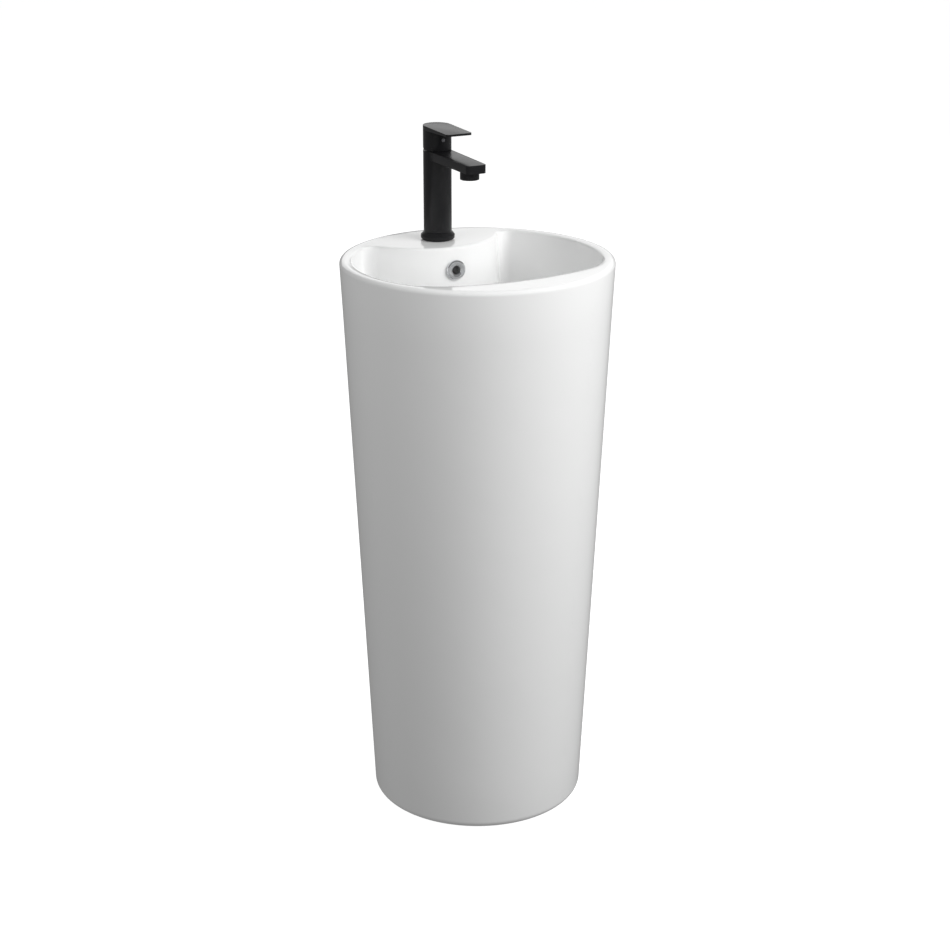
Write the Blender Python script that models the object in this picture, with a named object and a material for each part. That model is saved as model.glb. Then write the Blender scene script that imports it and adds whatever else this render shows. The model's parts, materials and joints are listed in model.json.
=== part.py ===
"""Round one-piece pedestal sink: a tapered vitreous china pillar with the bowl in its top, a single-lever
mixer tap on the rear deck, a click-clack waste and a bottle trap inside the pillar.

Metres, +Z up. The origin is the centre of the foot on the floor, the user stands at -Y, the wall is at +Y.
"""

import math

import bmesh
import bpy
from mathutils import Vector

# Pillar and rim
HEIGHT = 0.850
RIM_RADIUS = 0.200
FOOT_RADIUS = 0.161
RIM_ROUNDING = 0.007
FOOT_ROUNDING = 0.012
PILLAR_WALL = 0.011
FOOT_WALL = 0.022
DECK_THICKNESS = 0.014

# Outline of the bowl's opening, as arcs that run into each other
OPENING_RADIUS = 0.182
FRONT_ARC = 0.340
FRONT_EDGE = 0.144
FRONT_CORNER = 0.100
DECK_ARC = 0.118
DECK_EDGE = 0.073
DECK_CORNER = 0.018
OPENING_ROUNDING = 0.005

# Bowl
BOWL_WALL_END = 0.778
BOWL_DRAFT = 0.003
BOWL_FLOOR = 0.7205
BOWL_FALL = 0.006
BOWL_SWEEP = 2.2
BOWL_THICKNESS = 0.011
WASTE_Y = -0.036
SEAT_Z = 0.716
SEAT_RADIUS = 0.0345
WASTE_HOLE = 0.0225
BOSS_RADIUS = 0.044
BOSS_FOOT = 0.672

# Overflow
OVERFLOW_Z = HEIGHT - 0.035
WALL_LEAN = math.atan(BOWL_DRAFT / (HEIGHT - OPENING_ROUNDING - BOWL_WALL_END))
OVERFLOW_Y = DECK_EDGE - math.tan(WALL_LEAN) * (HEIGHT - OPENING_ROUNDING - OVERFLOW_Z)
OVERFLOW_HOLE = 0.0105
DUCT_HALF_WIDTH = 0.014
DUCT_FRONT = DECK_EDGE + 0.009
DUCT_BACK = DUCT_FRONT + 0.012
DUCT_FLOOR, DUCT_CEILING = 0.686, 0.700
RIB_HALF_WIDTH = 0.026
RIB_BACK = DUCT_BACK + 0.009

# Opening in the back of the pillar
ACCESS_HALF_WIDTH = 0.075
ACCESS_LOW, ACCESS_HIGH = 0.220, 0.640
ACCESS_CORNER = 0.035

# Tap, heights above the deck
TAP_Y = 0.131
TAP_HOLE = 0.0175
TAP_RADIUS = 0.0211
SEAM = 0.1345
SPOUT_REACH = 0.130
SPOUT_ROOT_HALF_WIDTH = 0.0180
SPOUT_TIP_HALF_WIDTH = 0.0157
SPOUT_THICKNESS = 0.0124
SPOUT_CORNER = 0.0055
SPOUT_FALL = math.radians(0.7)
AERATOR_REACH = 0.106
AERATOR_RADIUS = 0.0140
AERATOR_LOW = SEAM - SPOUT_THICKNESS - math.tan(SPOUT_FALL) * AERATOR_REACH - 0.0118
LEVER_REACH = 0.0745
LEVER_TIP_HALF_WIDTH = 0.0205
LEVER_TOP = 0.1710
LEVER_FALL = math.radians(1.3)
LIFT_PIVOT = SEAM - 0.001
LIFT_LIMIT = math.radians(22)
HANDLE_BORE = 0.0165

# Waste and trap
TAIL_END = 0.618
OUTLET_Z = 0.578
WALL_Y = 0.1997

GAP = 0.0003
SIDES = 20
RING_POINTS = (5, 3, 9, 5, 5)


def clear_scene():
    for thing in list(bpy.data.objects):
        bpy.data.objects.remove(thing)


def finish(name, colour, roughness, metallic=0.0):
    material = bpy.data.materials.new(name)
    material.use_nodes = True
    shader = material.node_tree.nodes["Principled BSDF"]
    shader.inputs["Base Color"].default_value = (*colour, 1)
    shader.inputs["Roughness"].default_value = roughness
    shader.inputs["Metallic"].default_value = metallic
    material.diffuse_color = (*colour, 1)
    return material


def add_object(name, mesh, material, at=(0, 0, 0), turn=(0, 0, 0)):
    piece = bpy.data.objects.new(name, mesh)
    bpy.context.scene.collection.objects.link(piece)
    piece.location = at
    piece.rotation_euler = turn
    if material:
        mesh.materials.append(material)
        mesh.shade_smooth()
        mesh.set_sharp_from_angle(angle=math.radians(35))
    else:
        piece.hide_render = True
        piece.display_type = "WIRE"
    return piece


def mesh_from(name, shape):
    bmesh.ops.recalc_face_normals(shape, faces=shape.faces)
    mesh = bpy.data.meshes.new(name)
    shape.to_mesh(mesh)
    shape.free()
    return mesh


def lofted(name, rings, material, closed=False, at=(0, 0, 0), turn=(0, 0, 0)):
    """A solid through rings of equal point counts. A ring of one point is a pole; closed joins last to first."""
    shape = bmesh.new()
    rows = [[shape.verts.new(point) for point in ring] for ring in rings]
    pairs = list(zip(rows, rows[1:] + rows[:1] if closed else rows[1:]))
    for low, high in pairs:
        count = max(len(low), len(high))
        for i in range(count):
            j = (i + 1) % count
            if len(low) == 1:
                shape.faces.new((low[0], high[j], high[i]))
            elif len(high) == 1:
                shape.faces.new((low[i], low[j], high[0]))
            else:
                shape.faces.new((low[i], low[j], high[j], high[i]))
    if not closed:
        for row in (rows[0], rows[-1]):
            if len(row) > 1:
                shape.faces.new(row)
    return add_object(name, mesh_from(name, shape), material, at, turn)


def circle(radius, z, sides=SIDES, centre=(0, 0)):
    if radius == 0:
        return [(centre[0], centre[1], z)]
    angles = [2 * math.pi * i / sides for i in range(sides)]
    return [(centre[0] + radius * math.cos(a), centre[1] + radius * math.sin(a), z) for a in angles]


def turned(name, profile, material, at=(0, 0, 0), turn=(0, 0, 0), sides=SIDES):
    """A turned piece. Its (radius, height) profile starts and ends on the axis, or is a loop round a bore."""
    loop = profile[0][0] > 0
    rings = [circle(radius, z, sides) for radius, z in profile]
    return lofted(name, rings, material, loop, at, turn)


def ring(name, inner, outer, low, high, material, at=(0, 0, 0), turn=(0, 0, 0), sides=SIDES):
    profile = [(inner, low), (outer, low), (outer, high), (inner, high)]
    return turned(name, profile, material, at, turn, sides)


def rod(name, radius, low, high, material, at=(0, 0, 0), turn=(0, 0, 0), sides=SIDES):
    profile = [(0, low), (radius, low), (radius, high), (0, high)]
    return turned(name, profile, material, at, turn, sides)


def extruded(name, outline, low, high, material=None, at=(0, 0, 0), turn=(0, 0, 0)):
    return lofted(name, [[(x, y, z) for x, y in outline] for z in (low, high)], material, False, at, turn)


def block(name, half_x, half_y, low, high, material=None, at=(0, 0, 0), turn=(0, 0, 0)):
    outline = [(-half_x, -half_y), (half_x, -half_y), (half_x, half_y), (-half_x, half_y)]
    return extruded(name, outline, low, high, material, at, turn)


def boolean(piece, other, operation="DIFFERENCE"):
    modifier = piece.modifiers.new(other.name, "BOOLEAN")
    modifier.operation = operation
    modifier.solver = "EXACT"
    modifier.object = other


def cut(piece, *cutters):
    for cutter in cutters:
        boolean(piece, cutter)


def join(piece, *others):
    for other in others:
        boolean(piece, other, "UNION")


def hex_nut(name, bore, corner_radius, low, high, material, at):
    nut = rod(name, corner_radius, low, high, material, at, sides=6)
    cut(nut, rod(f"{name}_bore", bore, low - 0.01, high + 0.01, None, at))


# ---------------------------------------------------------------- ceramic


def meeting(first, first_radius, second, second_radius):
    """Where two circles centred on the Y axis, at heights first and second, meet at +X."""
    apart = second - first
    along = (apart**2 + first_radius**2 - second_radius**2) / (2 * apart)
    return Vector((math.sqrt(first_radius**2 - along**2), first + along))


def opening_arcs():
    """The right half of the opening as arcs (centre, radius, side, start, end), rear middle to front middle.

    side is +1 where the opening lies inside the arc's circle, and -1 along the deck, which bulges into it.
    """
    deck_centre = Vector((0, DECK_EDGE + DECK_ARC))
    front_centre = Vector((0, FRONT_ARC - FRONT_EDGE))
    horn = meeting(0, OPENING_RADIUS - DECK_CORNER, deck_centre.y, DECK_ARC + DECK_CORNER)
    shoulder = meeting(0, OPENING_RADIUS - FRONT_CORNER, front_centre.y, FRONT_ARC - FRONT_CORNER)

    def angle(vector):
        return math.atan2(vector.y, vector.x)

    deck_end = angle(horn - deck_centre)
    rim_start = angle(horn)
    rim_end = angle(shoulder)
    front_start = angle(shoulder - front_centre)
    return (
        (deck_centre, DECK_ARC, -1, -math.pi / 2, deck_end),
        (horn, DECK_CORNER, 1, deck_end + math.pi, rim_start),
        (Vector((0, 0)), OPENING_RADIUS, 1, rim_start, rim_end),
        (shoulder, FRONT_CORNER, 1, rim_end, front_start),
        (front_centre, FRONT_ARC, 1, front_start, -math.pi / 2),
    )


def opening(inset, counts=RING_POINTS):
    """Points of the opening's outline moved inwards by inset, clockwise from the rear middle."""
    half = []
    for (centre, radius, side, start, end), count in zip(opening_arcs(), counts):
        reach = radius - side * inset
        for step in range(count):
            angle = start + (end - start) * step / count
            half.append((centre.x + reach * math.cos(angle), centre.y + reach * math.sin(angle)))
    half.append((0, inset - FRONT_EDGE))
    return half + [(-x, y) for x, y in reversed(half[1:-1])]


def bearings(counts=RING_POINTS):
    """For each point of the outline, the direction in which it is joined to the pillar's round sections."""
    outline = opening(0, counts)
    half_count = sum(counts)
    spread = counts[0] + counts[1]
    rear_end = math.atan2(outline[spread][1], outline[spread][0])
    half = []
    for i in range(half_count + 1):
        if i < spread:
            half.append(math.pi / 2 + (rear_end - math.pi / 2) * i / spread)
        else:
            half.append(math.atan2(outline[i][1], outline[i][0]))
    return half + [math.pi - angle for angle in reversed(half[1:-1])]


def level(outline, z):
    return [(x, y, z) for x, y in outline]


def section(radius, z, centre_y=0.0):
    return [(radius * math.cos(a), centre_y + radius * math.sin(a), z) for a in bearings()]


def pillar_radius(z):
    return FOOT_RADIUS + (RIM_RADIUS - FOOT_RADIUS) * z / HEIGHT


def rounding(radius, steps=3):
    """Quarter turn as (in, down) pairs from the side of a piece to its flat end."""
    angles = [math.pi / 2 * step / steps for step in range(steps + 1)]
    return [(radius * (1 - math.cos(a)), radius * (1 - math.sin(a))) for a in angles]


def bowl_rings(outline, foot_radius, drop, steps):
    """Rings that run from the foot of the bowl's wall, without a crease, across the floor to the waste.

    The way inwards grows with the square of the step and the way down with the step itself, so that the
    curve leaves the wall upright and reaches the waste nearly level.
    """
    foot = section(foot_radius, 0, WASTE_Y)
    rings = []
    for step in steps:
        inward = step**2
        sweep = (BOWL_WALL_END - BOWL_FLOOR - BOWL_FALL) * (1 - step) ** BOWL_SWEEP
        z = BOWL_FLOOR + BOWL_FALL * (1 - inward) + sweep - drop
        rings.append(
            [
                (x + (fx - x) * inward, y + (fy - y) * inward, z)
                for (x, y), (fx, fy, _) in zip(outline, foot)
            ]
        )
    return rings


def ceramic_solid(material):
    """The whole outer skin: foot, tapered side, rim, deck and the inside of the bowl, still solid below."""
    rings = []
    for inward, down in reversed(rounding(FOOT_ROUNDING)):
        rings.append(section(pillar_radius(down) - inward, down))
    for inward, down in rounding(RIM_ROUNDING):
        rings.append(section(RIM_RADIUS - inward, HEIGHT - down))
    for inward, down in reversed(rounding(OPENING_ROUNDING)):
        rings.append(level(opening(-inward), HEIGHT - down))
    rings += bowl_rings(opening(BOWL_DRAFT), SEAT_RADIUS, 0, (0, 0.12, 0.25, 0.38, 0.52, 0.67, 0.83, 1))
    rings.append(section(SEAT_RADIUS - 0.0015, SEAT_Z, WASTE_Y))
    rings.append([(0, WASTE_Y, SEAT_Z)])
    return lofted("ceramic_basin", rings, material)


def bowl_backing():
    """The bowl with its wall thickness, the boss round the waste and the rib that holds the overflow duct."""
    outline = opening(BOWL_DRAFT - BOWL_THICKNESS)
    rings = [level(outline, HEIGHT + 0.010)]
    rings += bowl_rings(outline, BOSS_RADIUS + 0.004, BOWL_THICKNESS, (0, 0.2, 0.4, 0.6, 0.8, 1))
    rings.append(section(BOSS_RADIUS, BOSS_FOOT, WASTE_Y))
    rings.append([(0, WASTE_Y, BOSS_FOOT)])
    backing = lofted("bowl_backing", rings, None)
    rib = extruded(
        "duct_rib",
        [
            (WASTE_Y + 0.010, BOSS_FOOT + 0.002),
            (RIB_BACK, BOSS_FOOT + 0.002),
            (RIB_BACK, HEIGHT + 0.005),
            (DECK_EDGE - 0.002, HEIGHT + 0.005),
            (DECK_EDGE - 0.002, BOWL_FLOOR - 0.006),
            (WASTE_Y + 0.010, BOWL_FLOOR - 0.006),
        ],
        -RIB_HALF_WIDTH,
        RIB_HALF_WIDTH,
        turn=(math.pi / 2, 0, math.pi / 2),
    )
    join(backing, rib)
    return backing


def ceramic_basin(material):
    basin = ceramic_solid(material)
    hollow = lofted(
        "pillar_hollow",
        [
            section(FOOT_RADIUS - FOOT_WALL, -0.010),
            section(FOOT_RADIUS - FOOT_WALL, 0.015),
            section(pillar_radius(0.040) - PILLAR_WALL, 0.040),
            section(pillar_radius(HEIGHT - DECK_THICKNESS) - PILLAR_WALL, HEIGHT - DECK_THICKNESS),
        ],
        None,
    )
    cut(hollow, bowl_backing())
    duct = extruded(
        "overflow_duct",
        [
            (WASTE_Y, DUCT_FLOOR),
            (DUCT_BACK, DUCT_FLOOR),
            (DUCT_BACK, OVERFLOW_Z + 0.013),
            (DUCT_FRONT, OVERFLOW_Z + 0.013),
            (DUCT_FRONT, DUCT_CEILING),
            (WASTE_Y, DUCT_CEILING),
        ],
        -DUCT_HALF_WIDTH,
        DUCT_HALF_WIDTH,
        turn=(math.pi / 2, 0, math.pi / 2),
    )
    overflow = rod("overflow_hole", OVERFLOW_HOLE, -0.020, 0.014, None, (0, DECK_EDGE, OVERFLOW_Z), BACKWARDS)
    waste = rod("waste_hole", WASTE_HOLE, BOSS_FOOT - 0.02, SEAT_Z + 0.02, None, (0, WASTE_Y, 0))
    tap = rod("tap_hole", TAP_HOLE, HEIGHT - 0.03, HEIGHT + 0.01, None, (0, TAP_Y, 0))
    access = extruded(
        "rear_access",
        rounded_box(
            ACCESS_HALF_WIDTH, (ACCESS_HIGH - ACCESS_LOW) / 2, ACCESS_CORNER, ACCESS_CORNER, 5
        ),
        -0.08,
        0.08,
        at=(0, 0.200, (ACCESS_HIGH + ACCESS_LOW) / 2),
        turn=BACKWARDS,
    )
    cut(basin, hollow, duct, overflow, waste, tap, access)
    return basin


def rounded_box(half_x, half_y, near_corner, far_corner, steps):
    """Rectangle outline with rounded corners: near ones at -Y and far ones at +Y."""
    points = []
    for sign_x, sign_y, first in ((1, 1, 0), (-1, 1, 1), (-1, -1, 2), (1, -1, 3)):
        corner = far_corner if sign_y > 0 else near_corner
        centre = (sign_x * (half_x - corner), sign_y * (half_y - corner))
        for step in range(steps + 1):
            angle = math.pi / 2 * (first + step / steps)
            points.append((centre[0] + corner * math.cos(angle), centre[1] + corner * math.sin(angle)))
    return points


# Turns a piece made along +Z so that it runs towards +Y, or along +X
BACKWARDS = (-math.pi / 2, 0, 0)
SIDEWAYS = (0, math.pi / 2, 0)


def overflow_ring(material):
    """Dished ring with a sleeve that snaps into the overflow hole."""
    profile = [
        (0.0065, -0.0030),
        (0.0120, -0.0042),
        (0.0150, -0.0030),
        (0.0150, -0.0004),
        (0.0100, -0.0004),
        (0.0100, 0.0060),
        (0.0088, 0.0060),
        (0.0088, -0.0015),
        (0.0065, -0.0012),
    ]
    lean = (-math.pi / 2 - WALL_LEAN, 0, 0)
    turned("overflow_ring", profile, material, (0, OVERFLOW_Y, OVERFLOW_Z), lean)


# ---------------------------------------------------------------- waste


def waste_fitting(chrome, rubber, plastic, steel, brass):
    here = (0, WASTE_Y, 0)
    ring("waste_top_seal", 0.0235, 0.0310, SEAT_Z + GAP, SEAT_Z + 0.0018, rubber, here)
    flange_low = SEAT_Z + 0.0021
    body = turned(
        "waste_body",
        [
            (0.0175, TAIL_END),
            (0.0205, TAIL_END),
            (0.0205, flange_low),
            (0.0320, flange_low),
            (0.0325, flange_low + 0.0014),
            (0.0300, flange_low + 0.0034),
            (0.0185, flange_low - 0.0006),
            (0.0175, flange_low - 0.0020),
        ],
        chrome,
        here,
    )
    slot = block("overflow_slots", 0.006, 0.030, DUCT_FLOOR + 0.002, DUCT_CEILING - 0.002, None, here)
    cut(body, slot)
    ring("waste_lower_seal", 0.0209, 0.0300, BOSS_FOOT - 0.0073, BOSS_FOOT - GAP, rubber, here)
    ring("waste_slip_washer", 0.0209, 0.0290, BOSS_FOOT - 0.0091, BOSS_FOOT - 0.0076, plastic, here)
    hex_nut("waste_backnut", 0.0209, 0.0310, BOSS_FOOT - 0.0200, BOSS_FOOT - 0.0094, brass, here)
    cartridge_z = DUCT_FLOOR - 0.016
    cartridge = ring("click_cartridge", 0.0038, 0.0065, cartridge_z - 0.008, cartridge_z + 0.030, plastic, here)
    rim = ring("click_rim", 0.0150, 0.0172, cartridge_z, cartridge_z + 0.004, None, here)
    bar = block("click_bar", 0.0162, 0.0022, cartridge_z + 0.0006, cartridge_z + 0.0034, None, here)
    bore = rod("click_bore", 0.0038, cartridge_z - 0.012, cartridge_z + 0.034, None, here)
    join(cartridge, rim, bar)
    cut(cartridge, bore)
    plug_low = flange_low + 0.0119
    turned(
        "waste_plug",
        [
            (0, cartridge_z - 0.004),
            (0.0030, cartridge_z - 0.004),
            (0.0030, plug_low - 0.0030),
            (0.0080, plug_low - 0.0025),
            (0.0080, plug_low),
            (0.0290, plug_low),
            (0.0305, plug_low + 0.0015),
            (0.0290, plug_low + 0.0035),
            (0.0160, plug_low + 0.0048),
            (0, plug_low + 0.0052),
        ],
        chrome,
        here,
    )
    ring("plug_seal", 0.0195, 0.0225, plug_low - 0.0030, plug_low - GAP, rubber, here)
    coil_spring("click_spring", 0.0055, 0.0005, cartridge_z + 0.0308, plug_low - 0.0037, 5, steel, here)


def coil_spring(name, radius, wire, low, high, turns, material, at):
    """Coil of round wire between two heights, made as a tube along a helix."""
    curve = bpy.data.curves.new(name, "CURVE")
    curve.dimensions = "3D"
    curve.bevel_depth = wire
    curve.bevel_resolution = 1
    curve.use_fill_caps = True
    spline = curve.splines.new("POLY")
    steps = turns * 12
    spline.points.add(steps)
    for i, point in enumerate(spline.points):
        angle = 2 * math.pi * turns * i / steps
        z = low + wire + (high - low - 2 * wire) * i / steps
        point.co = (radius * math.cos(angle), radius * math.sin(angle), z, 1)
    curve.materials.append(material)
    piece = bpy.data.objects.new(name, curve)
    piece.location = at
    bpy.context.scene.collection.objects.link(piece)


# ---------------------------------------------------------------- trap


def bottle_trap(plastic, rubber, chrome):
    here = (0, WASTE_Y, 0)
    neck_top = TAIL_END + 0.010
    body = turned(
        "trap_body",
        [
            (0.0270, 0.545),
            (0.0300, 0.545),
            (0.0300, 0.600),
            (0.0245, 0.604),
            (0.0245, neck_top),
            (0.0213, neck_top),
            (0.0213, 0.6125),
            (0.0192, 0.6125),
            (0.0192, 0.6080),
            (0.0270, 0.6000),
        ],
        plastic,
        here,
    )
    spigot = rod("trap_spigot", 0.0165, 0.024, 0.060, None, (0, WASTE_Y, OUTLET_Z), BACKWARDS)
    port = rod("trap_port", 0.0135, 0.010, 0.080, None, (0, WASTE_Y, OUTLET_Z), BACKWARDS)
    bore = rod("trap_bore", 0.0268, 0.540, 0.600, None, here)
    join(body, spigot)
    cut(body, bore, port)
    turned(
        "trap_inlet_nut",
        [
            (0.0209, neck_top + 0.0037),
            (0.0209, neck_top + 0.0080),
            (0.0270, neck_top + 0.0080),
            (0.0290, neck_top + 0.0060),
            (0.0290, neck_top - 0.0160),
            (0.0248, neck_top - 0.0160),
            (0.0248, neck_top + 0.0037),
        ],
        plastic,
        here,
    )
    ring("trap_inlet_seal", 0.0209, 0.0244, neck_top + GAP, neck_top + 0.0033, rubber, here)
    turned(
        "trap_dip_tube",
        [
            (0.0165, 0.495),
            (0.0185, 0.495),
            (0.0185, 0.6128),
            (0.0208, 0.6128),
            (0.0208, TAIL_END - GAP),
            (0.0165, TAIL_END - GAP),
        ],
        plastic,
        here,
    )
    turned(
        "trap_cup",
        [
            (0, 0.470),
            (0.0300, 0.470),
            (0.0335, 0.475),
            (0.0335, 0.560),
            (0.0304, 0.560),
            (0.0304, 0.5415),
            (0.0272, 0.5415),
            (0.0272, 0.478),
            (0, 0.474),
        ],
        plastic,
        here,
    )
    ring("trap_cup_seal", 0.0262, 0.0298, 0.5418, 0.5447, rubber, here)
    outlet = (0, WASTE_Y, OUTLET_Z)
    turned(
        "outlet_nut",
        [
            (0.0169, 0.044),
            (0.0215, 0.044),
            (0.0225, 0.046),
            (0.0225, 0.066),
            (0.0215, 0.068),
            (0.0164, 0.068),
            (0.0164, 0.0637),
            (0.0169, 0.0637),
        ],
        plastic,
        outlet,
        BACKWARDS,
    )
    ring("outlet_seal", 0.0136, 0.0165, 0.0603, 0.0630, rubber, outlet, BACKWARDS)
    ring("outlet_pipe", 0.0135, 0.0160, 0.0633, WALL_Y - WASTE_Y - GAP, chrome, outlet, BACKWARDS)
    turned(
        "wall_flange",
        [
            (0.0164, WALL_Y - WASTE_Y - 0.009),
            (0.0190, WALL_Y - WASTE_Y - 0.009),
            (0.0300, WALL_Y - WASTE_Y - 0.003),
            (0.0310, WALL_Y - WASTE_Y),
            (0.0164, WALL_Y - WASTE_Y),
        ],
        chrome,
        outlet,
        BACKWARDS,
    )


# ---------------------------------------------------------------- tap


def tap_outline(reach, half_width, tip_half_width, corner, steps=3):
    """Outline of a bar that starts at the tap's axis: a half circle behind, straight sides, a rounded tip."""
    points = []
    for step in range(SIDES // 2 + 1):
        angle = math.pi * step / (SIDES // 2)
        points.append((half_width * math.cos(angle), half_width * math.sin(angle)))
    for side in (-1, 1):
        centre = (side * (tip_half_width - corner), corner - reach)
        start = math.pi if side < 0 else 1.5 * math.pi
        for step in range(steps + 1):
            angle = start + math.pi / 2 * step / steps
            points.append((centre[0] + corner * math.cos(angle), centre[1] + corner * math.sin(angle)))
    return points


def tap_body(material):
    here = (0, TAP_Y, HEIGHT)
    foot = 0.0125
    body = rod("tap_body", TAP_RADIUS, foot, SEAM, material, here, sides=32)
    line = tap_outline(SPOUT_REACH, SPOUT_ROOT_HALF_WIDTH, SPOUT_TIP_HALF_WIDTH, SPOUT_CORNER)
    fall = math.tan(SPOUT_FALL)
    heights = (SEAM - SPOUT_THICKNESS, SEAM - 0.0002)
    rings = [[(x, y, z + fall * (y - SPOUT_ROOT_HALF_WIDTH)) for x, y in line] for z in heights]
    spout = lofted("spout_bar", rings, None, at=here)
    chamber = rod("cartridge_chamber", 0.0166, 0.1140, SEAM + 0.01, None, here)
    channel_z = SEAM - SPOUT_THICKNESS / 2 - 0.0007
    channel = rod(
        "spout_channel", 0.0038, -AERATOR_REACH, 0, None, (0, TAP_Y, HEIGHT + channel_z), BACKWARDS, 12
    )
    mouth = rod(
        "aerator_mouth", 0.0105, channel_z - 0.02, channel_z + 0.0005, None,
        (0, TAP_Y - AERATOR_REACH, HEIGHT),
    )
    stud_hole = rod("stud_hole", 0.0043, foot - 0.01, foot + 0.012, None, (0, TAP_Y + 0.0115, HEIGHT), sides=12)
    join(body, spout)
    cut(body, chamber, channel, mouth, stud_hole)
    for side, name in ((-1, "hot_way"), (1, "cold_way")):
        way = rod(name, 0.0042, 0.0, 0.120, None, (side * 0.0065, TAP_Y - 0.004, HEIGHT), sides=12)
        cut(body, way)


def tap_base(black, rubber):
    here = (0, TAP_Y, HEIGHT)
    ring("tap_base_seal", 0.0185, 0.0235, GAP, 0.0018, rubber, here)
    profile = [
        (0.0176, 0.0021), (0.0247, 0.0021), (0.0255, 0.0029),
        (0.0255, 0.0070), (0.0214, 0.0122), (0.0176, 0.0122),
    ]
    turned("tap_base_ring", profile, black, here, sides=32)


def aerator(black, plastic, rubber):
    here = (0, TAP_Y - AERATOR_REACH, HEIGHT)
    low = AERATOR_LOW
    profile = [
        (0.0092, low), (AERATOR_RADIUS - 0.0006, low), (AERATOR_RADIUS, low + 0.0006),
        (AERATOR_RADIUS, low + 0.0113), (0.0102, low + 0.0113), (0.0102, low + 0.0143), (0.0092, low + 0.0143),
    ]
    turned("aerator_collar", profile, black, here)
    insert = rod("aerator_insert", 0.0089, low + 0.0012, low + 0.0140, plastic, here)
    for i in range(6):
        angle = math.pi * (i + 0.5) / 3
        at = (here[0] + 0.0053 * math.cos(angle), here[1] + 0.0053 * math.sin(angle), HEIGHT)
        cut(insert, rod(f"aerator_jet_{i + 1}", 0.0016, low - 0.005, low + 0.02, None, at, sides=7))
    ring("aerator_washer", 0.0050, 0.0101, low + 0.0146, low + 0.0164, rubber, here)


def cartridge(plastic, ceramic, rubber, brass, steel):
    here = (0, TAP_Y, HEIGHT)
    ring("cartridge_seal", 0.0118, 0.0142, 0.1143, 0.1153, rubber, here)
    housing = turned(
        "cartridge_housing",
        [
            (0, 0.1156), (0.0145, 0.1156), (0.0145, 0.1262), (0.0162, 0.1266), (0.0162, 0.1288),
            (0.0123, 0.1288), (0.0123, 0.1176), (0, 0.1176),
        ],
        plastic,
        here,
    )
    disc = rod("fixed_disc", 0.0119, 0.1179, 0.1209, ceramic, here)
    for i, (x, y) in enumerate(((-0.0065, -0.004), (0.0065, -0.004), (0, 0.0072))):
        port = rod(f"port_{i + 1}", 0.0026, 0.110, 0.130, None, (x, TAP_Y + y, HEIGHT), sides=10)
        cut(housing, port)
        cut(disc, port)
    mover = rod("moving_disc", 0.0084, 0.1212, 0.1250, ceramic, here)
    cut(mover, rod("disc_pocket", 0.0044, 0.1221, 0.130, None, here, sides=16))
    swivel = turned(
        "cartridge_swivel",
        [(0, 0.1253), (0.0119, 0.1253), (0.0119, 0.1285), (0.0085, 0.1289), (0.0085, 0.1372), (0, 0.1372)],
        plastic,
        here,
    )
    slot = block("stem_slot", 0.0031, 0.0063, 0.120, 0.140, None, here)
    pivot = (0, TAP_Y, HEIGHT + LIFT_PIVOT)
    pin_hole = rod("pin_hole", 0.0015, -0.012, 0.012, None, pivot, SIDEWAYS, 12)
    cut(swivel, slot, pin_hole)
    rod("pivot_pin", 0.0012, -0.0078, 0.0078, steel, pivot, SIDEWAYS, 12)
    stem = block("cartridge_stem", 0.0028, 0.0030, -0.0045, 0.0235, brass, pivot)
    join(stem, rod("stem_foot", 0.0022, 0.1229 - LIFT_PIVOT, -0.004, None, pivot, sides=12))
    cut(stem, pin_hole)
    ring("cartridge_nut", 0.0090, 0.0163, 0.1291, 0.1340, brass, here)
    cap = [(0.0090, 0.1343), (0.0155, 0.1343), (0.0155, 0.1352), (0.0130, 0.1366), (0.0090, 0.1372)]
    turned("cartridge_cap", cap, steel, here)


def handle(black, steel, index_finish):
    """Handle block with its flat lever on top, the bore over the cartridge and the relief behind the pivot."""
    here = (0, TAP_Y, HEIGHT)
    low = SEAM + 0.0006
    fall = math.tan(LEVER_FALL)
    lever_line = tap_outline(LEVER_REACH, TAP_RADIUS, LEVER_TIP_HALF_WIDTH, 0.003)
    body = rod("tap_handle", TAP_RADIUS - 0.0001, low, LEVER_TOP - 0.0030, black, here)
    under = [(x, y, LEVER_TOP - 0.0065 + 0.045 * max(0.0, -y) + fall * y) for x, y in lever_line]
    top = [(x, y, LEVER_TOP + fall * y) for x, y in lever_line]
    lever = lofted("lever_bar", [under, top], None, at=here)
    join(body, lever)
    bore = rod("handle_bore", HANDLE_BORE, 0.120, LIFT_PIVOT + 0.0150, None, here)
    socket = block("stem_socket", 0.0031, 0.0033, LIFT_PIVOT + 0.010, LIFT_PIVOT + 0.0245, None, here)
    relief = extruded(
        "rear_relief",
        [(-0.0002, 0.120), (0.030, 0.120), (0.030, low + math.tan(LIFT_LIMIT) * 0.0302), (-0.0002, low)],
        -0.03,
        0.03,
        at=here,
        turn=(math.pi / 2, 0, math.pi / 2),
    )
    index_z = SEAM + 0.0168
    index_at = (0, TAP_Y - TAP_RADIUS, HEIGHT + index_z)
    index_hole = rod("index_hole", 0.0034, -0.005, 0.030, None, index_at, BACKWARDS, 16)
    cut(body, bore, socket, relief, index_hole)
    turned(
        "index_plug",
        [(0, -0.0004), (0.0026, -0.0003), (0.0030, 0.0002), (0.0030, 0.0050), (0, 0.0050)],
        index_finish,
        index_at,
        BACKWARDS,
        16,
    )
    rod("handle_grub_screw", 0.0024, 0.0090, 0.0168, steel, index_at, BACKWARDS, 6)


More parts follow.
